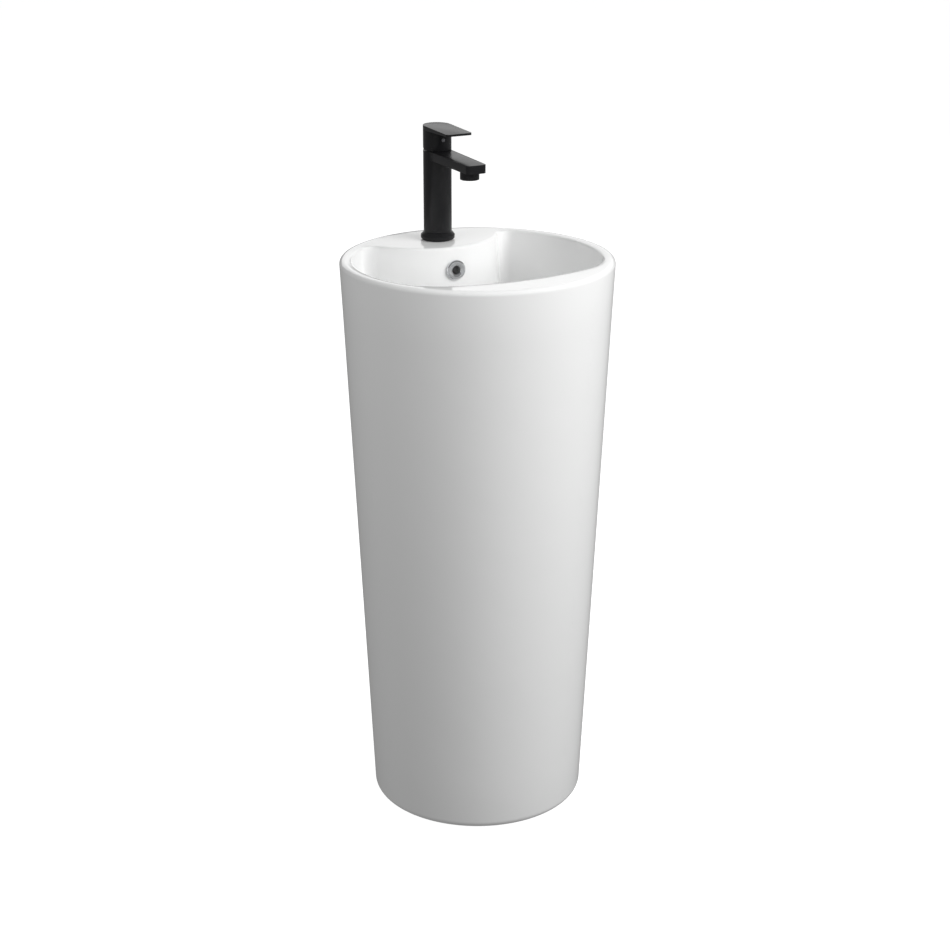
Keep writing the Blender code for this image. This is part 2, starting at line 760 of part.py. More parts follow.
def tap_fixing(rubber, steel, brass):
    """The stud, horseshoe seal and washer and nut that hold the tap down, under the deck."""
    here = (0, TAP_Y, HEIGHT)
    stud_at = (0, TAP_Y + 0.0115, HEIGHT)
    rod("fixing_stud", 0.0040, -0.050, 0.022, steel, stud_at, sides=12)
    low = -DECK_THICKNESS - GAP
    for name, top, thick, finish_of_it in (
        ("horseshoe_seal", low, 0.0030, rubber),
        ("horseshoe_washer", low - 0.0033, 0.0020, steel),
    ):
        washer = rod(name, 0.0215, top - thick, top, finish_of_it, here)
        mouth = block(f"{name}_mouth", 0.0125, 0.0150, top - 0.010, top + 0.010, None, (0, TAP_Y - 0.0100, HEIGHT))
        hole = rod(f"{name}_hole", 0.0044, top - 0.010, top + 0.010, None, stud_at, sides=12)
        cut(washer, mouth, hole)
    top = low - 0.0033 - 0.0020 - GAP
    hex_nut("fixing_nut", 0.0044, 0.0080, top - 0.018, top, brass, stud_at)


def main():
    clear_scene()
    china = finish("glazed china", (0.90, 0.90, 0.89), 0.06)
    black = finish("black coating", (0.022, 0.022, 0.024), 0.42, 0.3)
    chrome = finish("chrome", (0.80, 0.80, 0.81), 0.10, 1.0)
    steel = finish("stainless steel", (0.62, 0.62, 0.63), 0.30, 1.0)
    brass = finish("brass", (0.75, 0.55, 0.25), 0.35, 1.0)
    rubber = finish("black rubber", (0.03, 0.03, 0.03), 0.75)
    plastic = finish("white plastic", (0.82, 0.82, 0.80), 0.40)
    disc_ceramic = finish("disc ceramic", (0.88, 0.87, 0.82), 0.20)
    index = finish("index plastic", (0.10, 0.10, 0.11), 0.30)
    ceramic_basin(china)
    overflow_ring(chrome)
    waste_fitting(chrome, rubber, plastic, steel, brass)
    bottle_trap(plastic, rubber, chrome)
    tap_body(black)
    tap_base(black, rubber)
    aerator(black, plastic, rubber)
    cartridge(plastic, disc_ceramic, rubber, brass, steel)
    handle(black, steel, index)
    tap_fixing(rubber, steel, brass)
    bpy.context.view_layer.update()


main()
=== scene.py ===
"""Round one-piece pedestal basin with its tap, waste and trap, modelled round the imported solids.

Metres, +Z up, in the frame of the solids: the origin is the middle of the foot on the floor, the user
stands at -Y and the wall is at +Y.
"""

import json
import math

import bmesh
import bpy
from bpy.props import FloatProperty, FloatVectorProperty, PointerProperty
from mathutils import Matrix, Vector


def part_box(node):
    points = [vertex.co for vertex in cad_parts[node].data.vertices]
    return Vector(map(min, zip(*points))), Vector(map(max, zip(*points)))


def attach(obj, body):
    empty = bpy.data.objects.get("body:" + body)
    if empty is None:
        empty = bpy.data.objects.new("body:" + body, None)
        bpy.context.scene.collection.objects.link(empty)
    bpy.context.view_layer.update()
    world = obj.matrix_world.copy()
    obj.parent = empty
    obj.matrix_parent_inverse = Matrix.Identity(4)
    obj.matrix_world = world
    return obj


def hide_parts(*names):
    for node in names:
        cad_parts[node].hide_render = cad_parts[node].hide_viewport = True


bl_info = {
    "name": "Pedestal sink",
    "version": (1, 0, 0),
    "blender": (4, 5, 0),
    "location": "3D View > Sidebar > Sink",
    "description": "Makes a round china pedestal sink with its mixer tap, waste and trap",
    "category": "Add Mesh",
}

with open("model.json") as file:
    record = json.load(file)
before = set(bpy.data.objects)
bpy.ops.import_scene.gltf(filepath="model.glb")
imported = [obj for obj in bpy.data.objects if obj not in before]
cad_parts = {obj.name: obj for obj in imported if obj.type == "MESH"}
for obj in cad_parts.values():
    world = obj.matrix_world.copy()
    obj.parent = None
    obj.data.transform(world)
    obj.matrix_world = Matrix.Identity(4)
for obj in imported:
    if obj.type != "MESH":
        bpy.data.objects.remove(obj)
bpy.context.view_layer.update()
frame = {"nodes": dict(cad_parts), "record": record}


def middle(node):
    low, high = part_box(node)
    return (low + high) / 2


BASIN_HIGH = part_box("ceramic_basin")[1]
TAP_LOW, TAP_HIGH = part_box("tap_body")
TAP_Y = middle("tap_base_ring").y
WASTE_Y = middle("waste_body").y
OUTLET_Z = middle("wall_flange").z

RING = "ring_place"
ROUND = 96
POLE = 1e-5
MERGE = 4e-5
SLIVER = 1e-6
OUTLINE_POINTS = (20, 12, 36, 20, 20)
COARSE_POINTS = (10, 6, 18, 10, 10)

# Turn a piece made along +Z so that it runs towards +Y, and a profile of (y, z) so that it runs along +X
BACKWARDS = (-math.pi / 2, 0, 0)
ACROSS = (math.pi / 2, 0, math.pi / 2)


# ---------------------------------------------------------------- sizes and colours


class BasinSizes(bpy.types.PropertyGroup):
    """Sizes of the china"""

    height: FloatProperty(
        name="Height", description="Floor to the top of the rim", default=BASIN_HIGH.z, unit="LENGTH"
    )
    rim_radius: FloatProperty(
        name="Rim radius", description="Outer radius at the rim", default=BASIN_HIGH.x, unit="LENGTH"
    )
    foot_radius: FloatProperty(
        name="Foot radius", description="Outer radius that the taper has at the floor", default=0.161,
        unit="LENGTH",
    )
    rim_rounding: FloatProperty(
        name="Rim rounding", description="Radius of the rim's outer edge", default=0.007, unit="LENGTH"
    )
    foot_rounding: FloatProperty(
        name="Foot rounding", description="Radius of the foot's edge", default=0.012, unit="LENGTH"
    )
    edge_rounding: FloatProperty(
        name="Bowl edge rounding", description="Radius of the bowl's upper edge", default=0.005,
        unit="LENGTH",
    )
    opening_radius: FloatProperty(
        name="Opening radius", description="Radius of the bowl's opening at the sides", default=0.182,
        unit="LENGTH",
    )
    front_edge: FloatProperty(
        name="Front edge", description="Axis to the front of the bowl's opening", default=0.144,
        unit="LENGTH",
    )
    deck_edge: FloatProperty(
        name="Deck edge", description="Axis to the middle of the tap deck's edge", default=0.073,
        unit="LENGTH",
    )
    wall: FloatProperty(
        name="Wall", description="Thickness of the china", default=0.011, unit="LENGTH"
    )
    floor: FloatProperty(
        name="Bowl floor", description="Height of the bowl's floor at the waste", default=0.7205,
        unit="LENGTH",
    )


class TapSizes(bpy.types.PropertyGroup):
    """Sizes of the tap, with heights above the deck"""

    radius: FloatProperty(
        name="Body radius", description="Radius of the tap's body and handle", default=TAP_HIGH.x,
        unit="LENGTH",
    )
    seam: FloatProperty(
        name="Seam", description="Height of the joint between body and handle",
        default=TAP_HIGH.z - BASIN_HIGH.z, unit="LENGTH",
    )
    spout_reach: FloatProperty(
        name="Spout reach", description="Axis to the tip of the spout", default=TAP_Y - TAP_LOW.y,
        unit="LENGTH",
    )
    spout_thickness: FloatProperty(
        name="Spout thickness", description="Thickness of the spout's bar", default=0.0124, unit="LENGTH"
    )
    lever_reach: FloatProperty(
        name="Lever reach", description="Axis to the tip of the lever",
        default=TAP_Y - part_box("tap_handle")[0].y, unit="LENGTH",
    )
    lever_top: FloatProperty(
        name="Lever top", description="Height of the lever's top over the axis", default=0.171,
        unit="LENGTH",
    )
    soft_edge: FloatProperty(
        name="Soft edge", description="Width of the tap's broken edges", default=0.0007, unit="LENGTH"
    )


class FinishColours(bpy.types.PropertyGroup):
    """Colours of the finishes"""

    glaze: FloatVectorProperty(
        name="Glaze", description="Glazed china", default=(0.885, 0.888, 0.885), size=3, subtype="COLOR"
    )
    biscuit: FloatVectorProperty(
        name="Biscuit", description="Unglazed china inside the pillar and under the foot",
        default=(0.70, 0.66, 0.58), size=3, subtype="COLOR",
    )
    coating: FloatVectorProperty(
        name="Coating", description="Satin coating of the tap", default=(0.011, 0.011, 0.012), size=3,
        subtype="COLOR",
    )
    plating: FloatVectorProperty(
        name="Plating", description="Polished chrome plating", default=(0.80, 0.81, 0.83), size=3,
        subtype="COLOR",
    )
    steel: FloatVectorProperty(
        name="Steel", description="Stainless steel", default=(0.60, 0.60, 0.61), size=3, subtype="COLOR"
    )
    brass: FloatVectorProperty(
        name="Brass", description="Machined brass", default=(0.74, 0.54, 0.25), size=3, subtype="COLOR"
    )
    rubber: FloatVectorProperty(
        name="Rubber", description="Seals", default=(0.022, 0.022, 0.023), size=3, subtype="COLOR"
    )
    plastic: FloatVectorProperty(
        name="Plastic", description="Moulded trap and cartridge", default=(0.80, 0.80, 0.78), size=3,
        subtype="COLOR",
    )
    alumina: FloatVectorProperty(
        name="Alumina", description="Discs of the cartridge", default=(0.84, 0.82, 0.76), size=3,
        subtype="COLOR",
    )
    index: FloatVectorProperty(
        name="Index", description="Button on the handle", default=(0.13, 0.13, 0.14), size=3,
        subtype="COLOR",
    )


class StageSettings(bpy.types.PropertyGroup):
    """Camera and light"""

    bearing: FloatProperty(
        name="Camera bearing", description="Angle of the camera round the sink, from the front",
        default=math.radians(-27), subtype="ANGLE",
    )
    distance: FloatProperty(
        name="Camera distance", description="Level distance from the sink's axis", default=2.765,
        unit="LENGTH",
    )
    camera_height: FloatProperty(
        name="Camera height", description="Height of the lens above the floor", default=1.522, unit="LENGTH"
    )
    pitch: FloatProperty(
        name="Camera pitch", description="Angle of the camera below level", default=math.radians(20.03),
        subtype="ANGLE",
    )
    lens: FloatProperty(
        name="Lens", description="Focal length in millimetres", default=74.0, min=1.0
    )
    ambient: FloatProperty(
        name="Ambient", description="Strength of the even light from all round", default=0.25, min=0.0
    )
    key: FloatProperty(
        name="Key light", description="Watts of the large light at the right", default=55.5, min=0.0
    )
    fill: FloatProperty(
        name="Fill light", description="Watts of the light at the front left", default=11.0, min=0.0
    )
    back: FloatProperty(
        name="Back light", description="Watts of the light behind and above", default=60.0, min=0.0
    )


# ---------------------------------------------------------------- finishes


class Value:
    """A socket of a finish. Arithmetic written on it adds Math nodes."""

    def __init__(self, shader, socket):
        self.shader = shader
        self.socket = socket

    def maths(self, operation, first, second):
        return self.shader.node("ShaderNodeMath", {"operation": operation}, {0: first, 1: second})

    def __add__(self, other):
        return self.maths("ADD", self, other)

    def __mul__(self, other):
        return self.maths("MULTIPLY", self, other)

    def __lt__(self, other):
        return self.maths("LESS_THAN", self, other)

    __radd__ = __add__
    __rmul__ = __mul__


class Shader:
    """The node tree of one finish."""

    def __init__(self, name, **constants):
        self.material = bpy.data.materials.new(name)
        self.material.use_nodes = True
        self.tree = self.material.node_tree
        self.surface = self.tree.nodes["Principled BSDF"]
        for socket, value in constants.items():
            self.surface.inputs[socket.replace("_", " ")].default_value = value
        self.place = self.node("ShaderNodeTexCoord", out="Object")

    def feed(self, socket, value):
        if isinstance(value, Value):
            self.tree.links.new(value.socket, socket)
        else:
            socket.default_value = value

    def node(self, kind, settings=None, sockets=None, out=0):
        made = self.tree.nodes.new(kind)
        for name, setting in (settings or {}).items():
            setattr(made, name, setting)
        for name, value in (sockets or {}).items():
            self.feed(made.inputs[name], value)
        return Value(self, made.outputs[out])

    def stretched(self, x, y, z):
        return self.node("ShaderNodeVectorMath", {"operation": "MULTIPLY"}, {0: self.place, 1: (x, y, z)})

    def noise(self, scale, detail=2.0, roughness=0.5, place=None):
        return self.node(
            "ShaderNodeTexNoise",
            sockets={
                "Vector": place or self.place, "Scale": scale, "Detail": detail, "Roughness": roughness,
            },
        )

    def specks(self, scale, reach, share):
        """1 within reach of the middle of a share of the cells of a random pattern."""
        pattern = {"Vector": self.place, "Scale": scale}
        near = self.node("ShaderNodeTexVoronoi", sockets=pattern) < reach
        cell = self.node("ShaderNodeTexVoronoi", sockets=pattern, out="Color")
        chosen = self.node("ShaderNodeSeparateColor", sockets={"Color": cell}) < share
        return near * chosen

    def mix(self, amount, first, second):
        return self.node("ShaderNodeMix", {"data_type": "RGBA"}, {0: amount, 6: first, 7: second}, out=2)

    def set(self, socket, value):
        self.feed(self.surface.inputs[socket], value)

    def bump(self, *layers):
        """Layers of (height, depth), the first one under the others."""
        normal = None
        for height, depth in layers:
            sockets = {"Height": height, "Distance": depth}
            if normal:
                sockets["Normal"] = normal
            normal = self.node("ShaderNodeBump", sockets=sockets)
        self.set("Normal", normal)


def shade(colour, factor):
    return (*(channel * factor for channel in colour), 1)


def glazed_china(colours):
    shader = Shader("glazed_china", IOR=1.52)
    cloud = shader.noise(6, 3)
    ripple = shader.noise(16, 1)
    peel = shader.noise(420, 1)
    body = shader.mix(cloud, shade(colours.glaze, 0.985), shade(colours.glaze, 1.01))
    speck = shader.specks(38, 0.018, 0.05)
    shader.set("Base Color", shader.mix(speck * 0.5, body, (0.33, 0.28, 0.22, 1)))
    shader.set("Roughness", 0.045 + cloud * 0.05)
    shader.bump((ripple, 0.0004), (peel, 0.000008))


def china_biscuit(colours):
    shader = Shader("china_biscuit", IOR=1.5)
    stain = shader.noise(9, 4, 0.6)
    grain = shader.noise(1400, 2)
    pits = shader.specks(160, 0.16, 0.3)
    body = shader.mix(stain, shade(colours.biscuit, 0.9), shade(colours.biscuit, 1.08))
    shader.set("Base Color", shader.mix(pits * 0.35, body, shade(colours.biscuit, 0.6)))
    shader.set("Roughness", 0.78 + grain * 0.15)
    shader.bump((stain, 0.001), (grain, 0.00008), (pits, -0.0002))


def satin_coating(colours):
    shader = Shader("satin_coating", IOR=1.34)
    cloud = shader.noise(40, 3)
    peel = shader.noise(900, 2)
    shader.set("Base Color", shader.mix(peel, shade(colours.coating, 0.9), shade(colours.coating, 1.2)))
    shader.set("Roughness", 0.26 + cloud * 0.05 + peel * 0.04)
    shader.bump((peel, 0.000018))


def chrome_plating(colours):
    shader = Shader("chrome_plating", Metallic=1.0)
    haze = shader.noise(60, 3)
    wipe = shader.noise(900, 1, place=shader.stretched(1, 1, 0.08))
    shader.set("Base Color", shader.mix(haze, shade(colours.plating, 0.96), shade(colours.plating, 1.0)))
    shader.set("Roughness", 0.05 + haze * 0.05 + wipe * 0.03)
    shader.bump((wipe, 0.000004))


def stainless_steel(colours):
    shader = Shader("stainless_steel", Metallic=1.0)
    brushed = shader.noise(1600, 2, place=shader.stretched(1, 1, 0.05))
    shader.set("Base Color", shader.mix(brushed, shade(colours.steel, 0.9), shade(colours.steel, 1.06)))
    shader.set("Roughness", 0.24 + brushed * 0.14)
    shader.bump((brushed, 0.00001))


def machined_brass(colours):
    shader = Shader("machined_brass", Metallic=1.0)
    tarnish = shader.noise(120, 4, 0.6)
    turned_lines = shader.noise(2500, 1, place=shader.stretched(0.03, 0.03, 1))
    shader.set("Base Color", shader.mix(tarnish, shade(colours.brass, 0.8), shade(colours.brass, 1.06)))
    shader.set("Roughness", 0.26 + tarnish * 0.16)
    shader.bump((turned_lines, 0.00002))


def seal_rubber(colours):
    shader = Shader("seal_rubber", IOR=1.48)
    bloom = shader.noise(220, 3)
    grain = shader.noise(2600, 1)
    shader.set("Base Color", shader.mix(bloom, shade(colours.rubber, 0.85), shade(colours.rubber, 1.5)))
    shader.set("Roughness", 0.66 + bloom * 0.16)
    shader.bump((grain, 0.00002))


def moulded_plastic(colours):
    shader = Shader("moulded_plastic", IOR=1.49)
    flow = shader.noise(28, 2)
    grain = shader.noise(1800, 2)
    shader.set("Base Color", shader.mix(flow, shade(colours.plastic, 0.965), shade(colours.plastic, 1.02)))
    shader.set("Roughness", 0.34 + flow * 0.08 + grain * 0.06)
    shader.bump((flow, 0.0003), (grain, 0.000012))


def lapped_alumina(colours):
    shader = Shader("lapped_alumina", IOR=1.76)
    grain = shader.noise(3200, 2)
    shader.set("Base Color", shader.mix(grain, shade(colours.alumina, 0.97), shade(colours.alumina, 1.02)))
    shader.set("Roughness", 0.16 + grain * 0.1)
    shader.bump((grain, 0.000004))


def index_plastic(colours):
    shader = Shader("index_plastic", IOR=1.49)
    grain = shader.noise(2200, 1)
    shader.set("Base Color", shader.mix(grain, shade(colours.index, 0.94), shade(colours.index, 1.06)))
    shader.set("Roughness", 0.24 + grain * 0.06)
    shader.bump((grain, 0.00001))


FINISHES = {
    "china": glazed_china,
    "biscuit": china_biscuit,
    "black": satin_coating,
    "chrome": chrome_plating,
    "steel": stainless_steel,
    "brass": machined_brass,
    "rubber": seal_rubber,
    "white_plastic": moulded_plastic,
    "disc_ceramic": lapped_alumina,
    "index": index_plastic,
}


def finish_for(slot):
    return bpy.data.materials[FINISHES[slot].__name__]


# ---------------------------------------------------------------- ways of modelling


def deselect():
    if bpy.context.mode != "OBJECT":
        bpy.ops.object.mode_set(mode="OBJECT")
    bpy.ops.object.select_all(action="DESELECT")


def pick(piece):
    deselect()
    piece.select_set(True)
    bpy.context.view_layer.objects.active = piece


def start_ring(name, sides, radius=0.1):
    """Adds a circle in edit mode and numbers its points, so that later rings can follow them."""
    deselect()
    bpy.ops.mesh.primitive_circle_add(
        vertices=sides, radius=radius, fill_type="NOTHING", enter_editmode=True
    )
    piece = bpy.context.active_object
    piece.name = name
    piece.data.name = name
    shape = bmesh.from_edit_mesh(piece.data)
    number = shape.verts.layers.int.new(RING)
    for i, point in enumerate(shape.verts):
        point[number] = i
    bmesh.update_edit_mesh(piece.data)
    return piece


def place_ring(piece, ring):
    """Moves the selected points to the places that their numbers have in the ring."""
    shape = bmesh.from_edit_mesh(piece.data)
    number = shape.verts.layers.int[RING]
    for point in shape.verts:
        if point.select:
            point.co = ring[point[number]]
    bmesh.update_edit_mesh(piece.data)


def close_shape(piece, bridged):
    """Merges coincident points, closes the open ends or bridges them, and faces the shape outwards."""
    bpy.ops.mesh.select_all(action="SELECT")
    bpy.ops.mesh.remove_doubles(threshold=MERGE)
    bpy.ops.mesh.select_all(action="DESELECT")
    bpy.ops.mesh.select_mode(type="EDGE")
    bpy.ops.mesh.select_non_manifold()
    if bridged:
        bpy.ops.mesh.bridge_edge_loops()
    elif any(edge.select for edge in bmesh.from_edit_mesh(piece.data).edges):
        bpy.ops.mesh.edge_face_add()
    bpy.ops.mesh.select_all(action="SELECT")
    bpy.ops.mesh.normals_make_consistent(inside=False)
    bpy.ops.mesh.select_mode(type="VERT")
    bpy.ops.object.mode_set(mode="OBJECT")
    piece.data.attributes.remove(piece.data.attributes[RING])


def place(piece, at, turn=(0, 0, 0)):
    pick(piece)
    piece.location = at
    piece.rotation_euler = turn
    bpy.ops.object.transform_apply(location=True, rotation=True, scale=True)
    return piece


def swept(name, rings, at=(0, 0, 0), turn=(0, 0, 0)):
    """A closed piece through rings of equal point counts, the last of them filled."""
    piece = start_ring(name, len(rings[0]))
    place_ring(piece, rings[0])
    for ring in rings[1:]:
        bpy.ops.mesh.extrude_region_move()
        place_ring(piece, ring)
    bpy.ops.mesh.edge_face_add()
    close_shape(piece, bridged=False)
    return place(piece, at, turn)


def extruded(name, outline, low, high, at=(0, 0, 0), turn=(0, 0, 0)):
    return swept(name, [level(outline, low), level(outline, high)], at, turn)


def turned(name, profile, at=(0, 0, 0), turn=(0, 0, 0), sides=ROUND):
    """Turns a profile of (radius, height) points: a circle is extruded and scaled from point to point.

    A radius of 0 is a pole. A profile that starts off the axis is closed round its bore.
    """
    radius, height = max(profile[0][0], POLE), profile[0][1]
    piece = start_ring(name, sides, radius)
    bpy.ops.transform.translate(value=(0, 0, height))
    for next_radius, next_height in profile[1:]:
        next_radius = max(next_radius, POLE)
        bpy.ops.mesh.extrude_region_move(TRANSFORM_OT_translate={"value": (0, 0, next_height - height)})
        factor = next_radius / radius
        bpy.ops.transform.resize(value=(factor, factor, 1))
        radius, height = next_radius, next_height
    close_shape(piece, bridged=profile[0][0] > 0)
    return place(piece, at, turn)


def rod(name, radius, low, high, at=(0, 0, 0), turn=(0, 0, 0), sides=ROUND):
    return turned(name, [(0, low), (radius, low), (radius, high), (0, high)], at, turn, sides)


def tube(name, bore, radius, low, high, at=(0, 0, 0), turn=(0, 0, 0), sides=ROUND):
    return turned(name, [(bore, low), (radius, low), (radius, high), (bore, high)], at, turn, sides)


def block(name, half_x, half_y, low, high, at=(0, 0, 0), turn=(0, 0, 0)):
    outline = [(-half_x, -half_y), (half_x, -half_y), (half_x, half_y), (-half_x, half_y)]
    return extruded(name, outline, low, high, at, turn)


def apply_modifier(piece, kind, **settings):
    modifier = piece.modifiers.new(kind, kind)
    for name, value in settings.items():
        setattr(modifier, name, value)
    pick(piece)
    bpy.ops.object.modifier_apply(modifier=modifier.name)


def combine(piece, operation, others):
    for other in others:
        apply_modifier(
            piece, "BOOLEAN", operation=operation, solver="EXACT", object=other, material_mode="TRANSFER"
        )
        bpy.data.meshes.remove(other.data)


def cut(piece, *cutters):
    combine(piece, "DIFFERENCE", cutters)


def join(piece, *others):
    combine(piece, "UNION", others)


def soften(piece, width, segments=3, angle=35):
    limit = math.radians(angle)
    apply_modifier(
        piece, "BEVEL", width=width, segments=segments, limit_method="ANGLE", angle_limit=limit
    )


def hand_over(piece, slot, body, *nodes, angle=32):
    """Shades a finished piece, gives it its finish, and lets it ride on a body in place of solids."""
    if not any(piece.data.materials):
        piece.data.materials.clear()
        piece.data.materials.append(finish_for(slot))
    pick(piece)
    bpy.ops.object.shade_smooth_by_angle(angle=math.radians(angle))
    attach(piece, body)
    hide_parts(*nodes)
    return piece


def spaced(centre, radius, count, first=0.0):
    """Places spaced evenly on a level circle, each with its angle."""
    for i in range(count):
        angle = 2 * math.pi * (i + first) / count
        yield angle, (centre[0] + radius * math.cos(angle), centre[1] + radius * math.sin(angle), centre[2])


def rounded_box(half_x, half_y, corner, steps):
    points = []
    for quarter, (sign_x, sign_y) in enumerate(((1, 1), (-1, 1), (-1, -1), (1, -1))):
        centre = (sign_x * (half_x - corner), sign_y * (half_y - corner))
        for step in range(steps + 1):
            angle = math.pi / 2 * (quarter + step / steps)
            points.append((centre[0] + corner * math.cos(angle), centre[1] + corner * math.sin(angle)))
    return points


# ---------------------------------------------------------------- basin

FRONT_ARC = 0.340
FRONT_CORNER = 0.100
DECK_ARC = 0.118
DECK_CORNER = 0.018
DECK_THICKNESS = 0.014
FOOT_WALL = 0.022
BOWL_WALL_END = 0.778
BOWL_DRAFT = 0.003
BOWL_FALL = 0.006
BOWL_SWEEP = 2.2
SEAT_Z = 0.716
SEAT_RADIUS = 0.0345
WASTE_HOLE = 0.0225
BOSS_RADIUS = 0.044
BOSS_FOOT = 0.672
TAP_HOLE = 0.0175
OVERFLOW_DROP = 0.035
OVERFLOW_HOLE = 0.0105
LEDGE_FALL = 0.0008
ACCESS_HALF_WIDTH = 0.075
ACCESS_LOW, ACCESS_HIGH = 0.220, 0.640
ACCESS_CORNER = 0.035
DUCT_FLOOR, DUCT_CEILING = 0.686, 0.700
DUCT_HALF_WIDTH = 0.014
RIB_HALF_WIDTH = 0.026
OUTER_STEPS, EDGE_STEPS, LEDGE_STEPS = 10, 8, 6
COURSES = 12
BOWL_STEPS, BACKING_STEPS = 34, 14


def meeting(first, first_radius, second, second_radius):
    """Where two circles centred on the Y axis, at heights first and second, meet at +X."""
    apart = second - first
    along = (apart**2 + first_radius**2 - second_radius**2) / (2 * apart)
    return Vector((math.sqrt(first_radius**2 - along**2), first + along))


def opening_arcs(size):
    """The right half of the bowl's opening as arcs (centre, radius, side, start, end), rear to front.

    side is +1 where the opening lies inside the arc's circle, and -1 along the deck, which bulges into it.
    """
    deck_centre = Vector((0, size.deck_edge + DECK_ARC))
    front_centre = Vector((0, FRONT_ARC - size.front_edge))
    horn = meeting(0, size.opening_radius - DECK_CORNER, deck_centre.y, DECK_ARC + DECK_CORNER)
    shoulder = meeting(0, size.opening_radius - FRONT_CORNER, front_centre.y, FRONT_ARC - FRONT_CORNER)

    def angle(vector):
        return math.atan2(vector.y, vector.x)

    deck_end = angle(horn - deck_centre)
    return (
        (deck_centre, DECK_ARC, -1, -math.pi / 2, deck_end),
        (horn, DECK_CORNER, 1, deck_end + math.pi, angle(horn)),
        (Vector((0, 0)), size.opening_radius, 1, angle(horn), angle(shoulder)),
        (shoulder, FRONT_CORNER, 1, angle(shoulder), angle(shoulder - front_centre)),
        (front_centre, FRONT_ARC, 1, angle(shoulder - front_centre), -math.pi / 2),
    )


def opening(size, inset, counts=OUTLINE_POINTS):
    """Points of the opening's outline moved inwards by inset, clockwise from the rear middle."""
    half = []
    for (centre, radius, side, start, end), count in zip(opening_arcs(size), counts):
        reach = radius - side * inset
        for step in range(count):
            angle = start + (end - start) * step / count
            half.append((centre.x + reach * math.cos(angle), centre.y + reach * math.sin(angle)))
    half.append((0, inset - size.front_edge))
    return half + [(-x, y) for x, y in reversed(half[1:-1])]


def bearings(size, counts=OUTLINE_POINTS):
    """For each point of the outline, the direction in which it is joined to the pillar's round sections."""
    outline = opening(size, 0, counts)
    spread = counts[0] + counts[1]
    rear_end = math.atan2(outline[spread][1], outline[spread][0])
    half = []
    for i in range(sum(counts) + 1):
        if i < spread:
            half.append(math.pi / 2 + (rear_end - math.pi / 2) * i / spread)
        else:
            half.append(math.atan2(outline[i][1], outline[i][0]))
    return half + [math.pi - angle for angle in reversed(half[1:-1])]


def level(outline, z):
    return [(x, y, z) for x, y in outline]


def section(size, radius, z, centre_y=0.0, counts=OUTLINE_POINTS):
    angles = bearings(size, counts)
    return [(radius * math.cos(a), centre_y + radius * math.sin(a), z) for a in angles]


def between(first, second, share, z):
    """The ring a share of the way from one ring to another, at height z."""
    pairs = zip(first, second)
    return [(x + (fx - x) * share, y + (fy - y) * share, z) for (x, y, _), (fx, fy, _) in pairs]


def pillar_radius(size, z):
    return size.foot_radius + (size.rim_radius - size.foot_radius) * z / size.height


def rounding(radius, steps):
    """Quarter turn as (in, down) pairs from the side of a piece to its flat end."""
    angles = [math.pi / 2 * step / steps for step in range(steps + 1)]
    return [(radius * (1 - math.cos(a)), radius * (1 - math.sin(a))) for a in angles]


def bowl_rings(size, outline, foot_radius, drop, steps, counts=OUTLINE_POINTS):
    """Rings that run from the foot of the bowl's wall, without a crease, across the floor to the waste."""
    wall = level(outline, 0)
    foot = section(size, foot_radius, 0, WASTE_Y, counts)
    rings = []
    for i in range(steps + 1):
        step = i / steps
        inward = step**2
        sweep = (BOWL_WALL_END - size.floor - BOWL_FALL) * (1 - step) ** BOWL_SWEEP
        rings.append(between(wall, foot, inward, size.floor + BOWL_FALL * (1 - inward) + sweep - drop))
    return rings


def basin_rings(size):
    """Foot, tapered side, rim, ledge, bowl and waste seat, from the floor round to the bowl's middle."""
    rings = []
    for inward, down in reversed(rounding(size.foot_rounding, OUTER_STEPS)):
        rings.append(section(size, pillar_radius(size, down) - inward, down))
    for course in range(1, COURSES):
        z = size.foot_rounding + (size.height - size.rim_rounding - size.foot_rounding) * course / COURSES
        rings.append(section(size, pillar_radius(size, z), z))
    for inward, down in rounding(size.rim_rounding, OUTER_STEPS):
        rings.append(section(size, size.rim_radius - inward, size.height - down))
    rim = rings[-1]
    edge = level(opening(size, -size.edge_rounding), 0)
    for step in range(1, LEDGE_STEPS):
        share = step / LEDGE_STEPS
        rings.append(between(rim, edge, share, size.height - LEDGE_FALL * share**2))
    for inward, down in reversed(rounding(size.edge_rounding, EDGE_STEPS)):
        fall = LEDGE_FALL * (1 - down / size.edge_rounding)
        rings.append(level(opening(size, -inward), size.height - down - fall))
    wall_top = size.height - size.edge_rounding
    for share in (0.33, 0.67):
        outline = opening(size, BOWL_DRAFT * share)
        rings.append(level(outline, wall_top + (BOWL_WALL_END - wall_top) * share))
    rings += bowl_rings(size, opening(size, BOWL_DRAFT), SEAT_RADIUS + 0.002, 0, BOWL_STEPS)
    rings.append(section(size, SEAT_RADIUS, size.floor - 0.0012, WASTE_Y))
    rings.append(section(size, SEAT_RADIUS - 0.0007, SEAT_Z + 0.0008, WASTE_Y))
    rings.append(section(size, SEAT_RADIUS - 0.0020, SEAT_Z, WASTE_Y))
    rings.append(section(size, WASTE_HOLE * 0.5, SEAT_Z, WASTE_Y))
    return rings


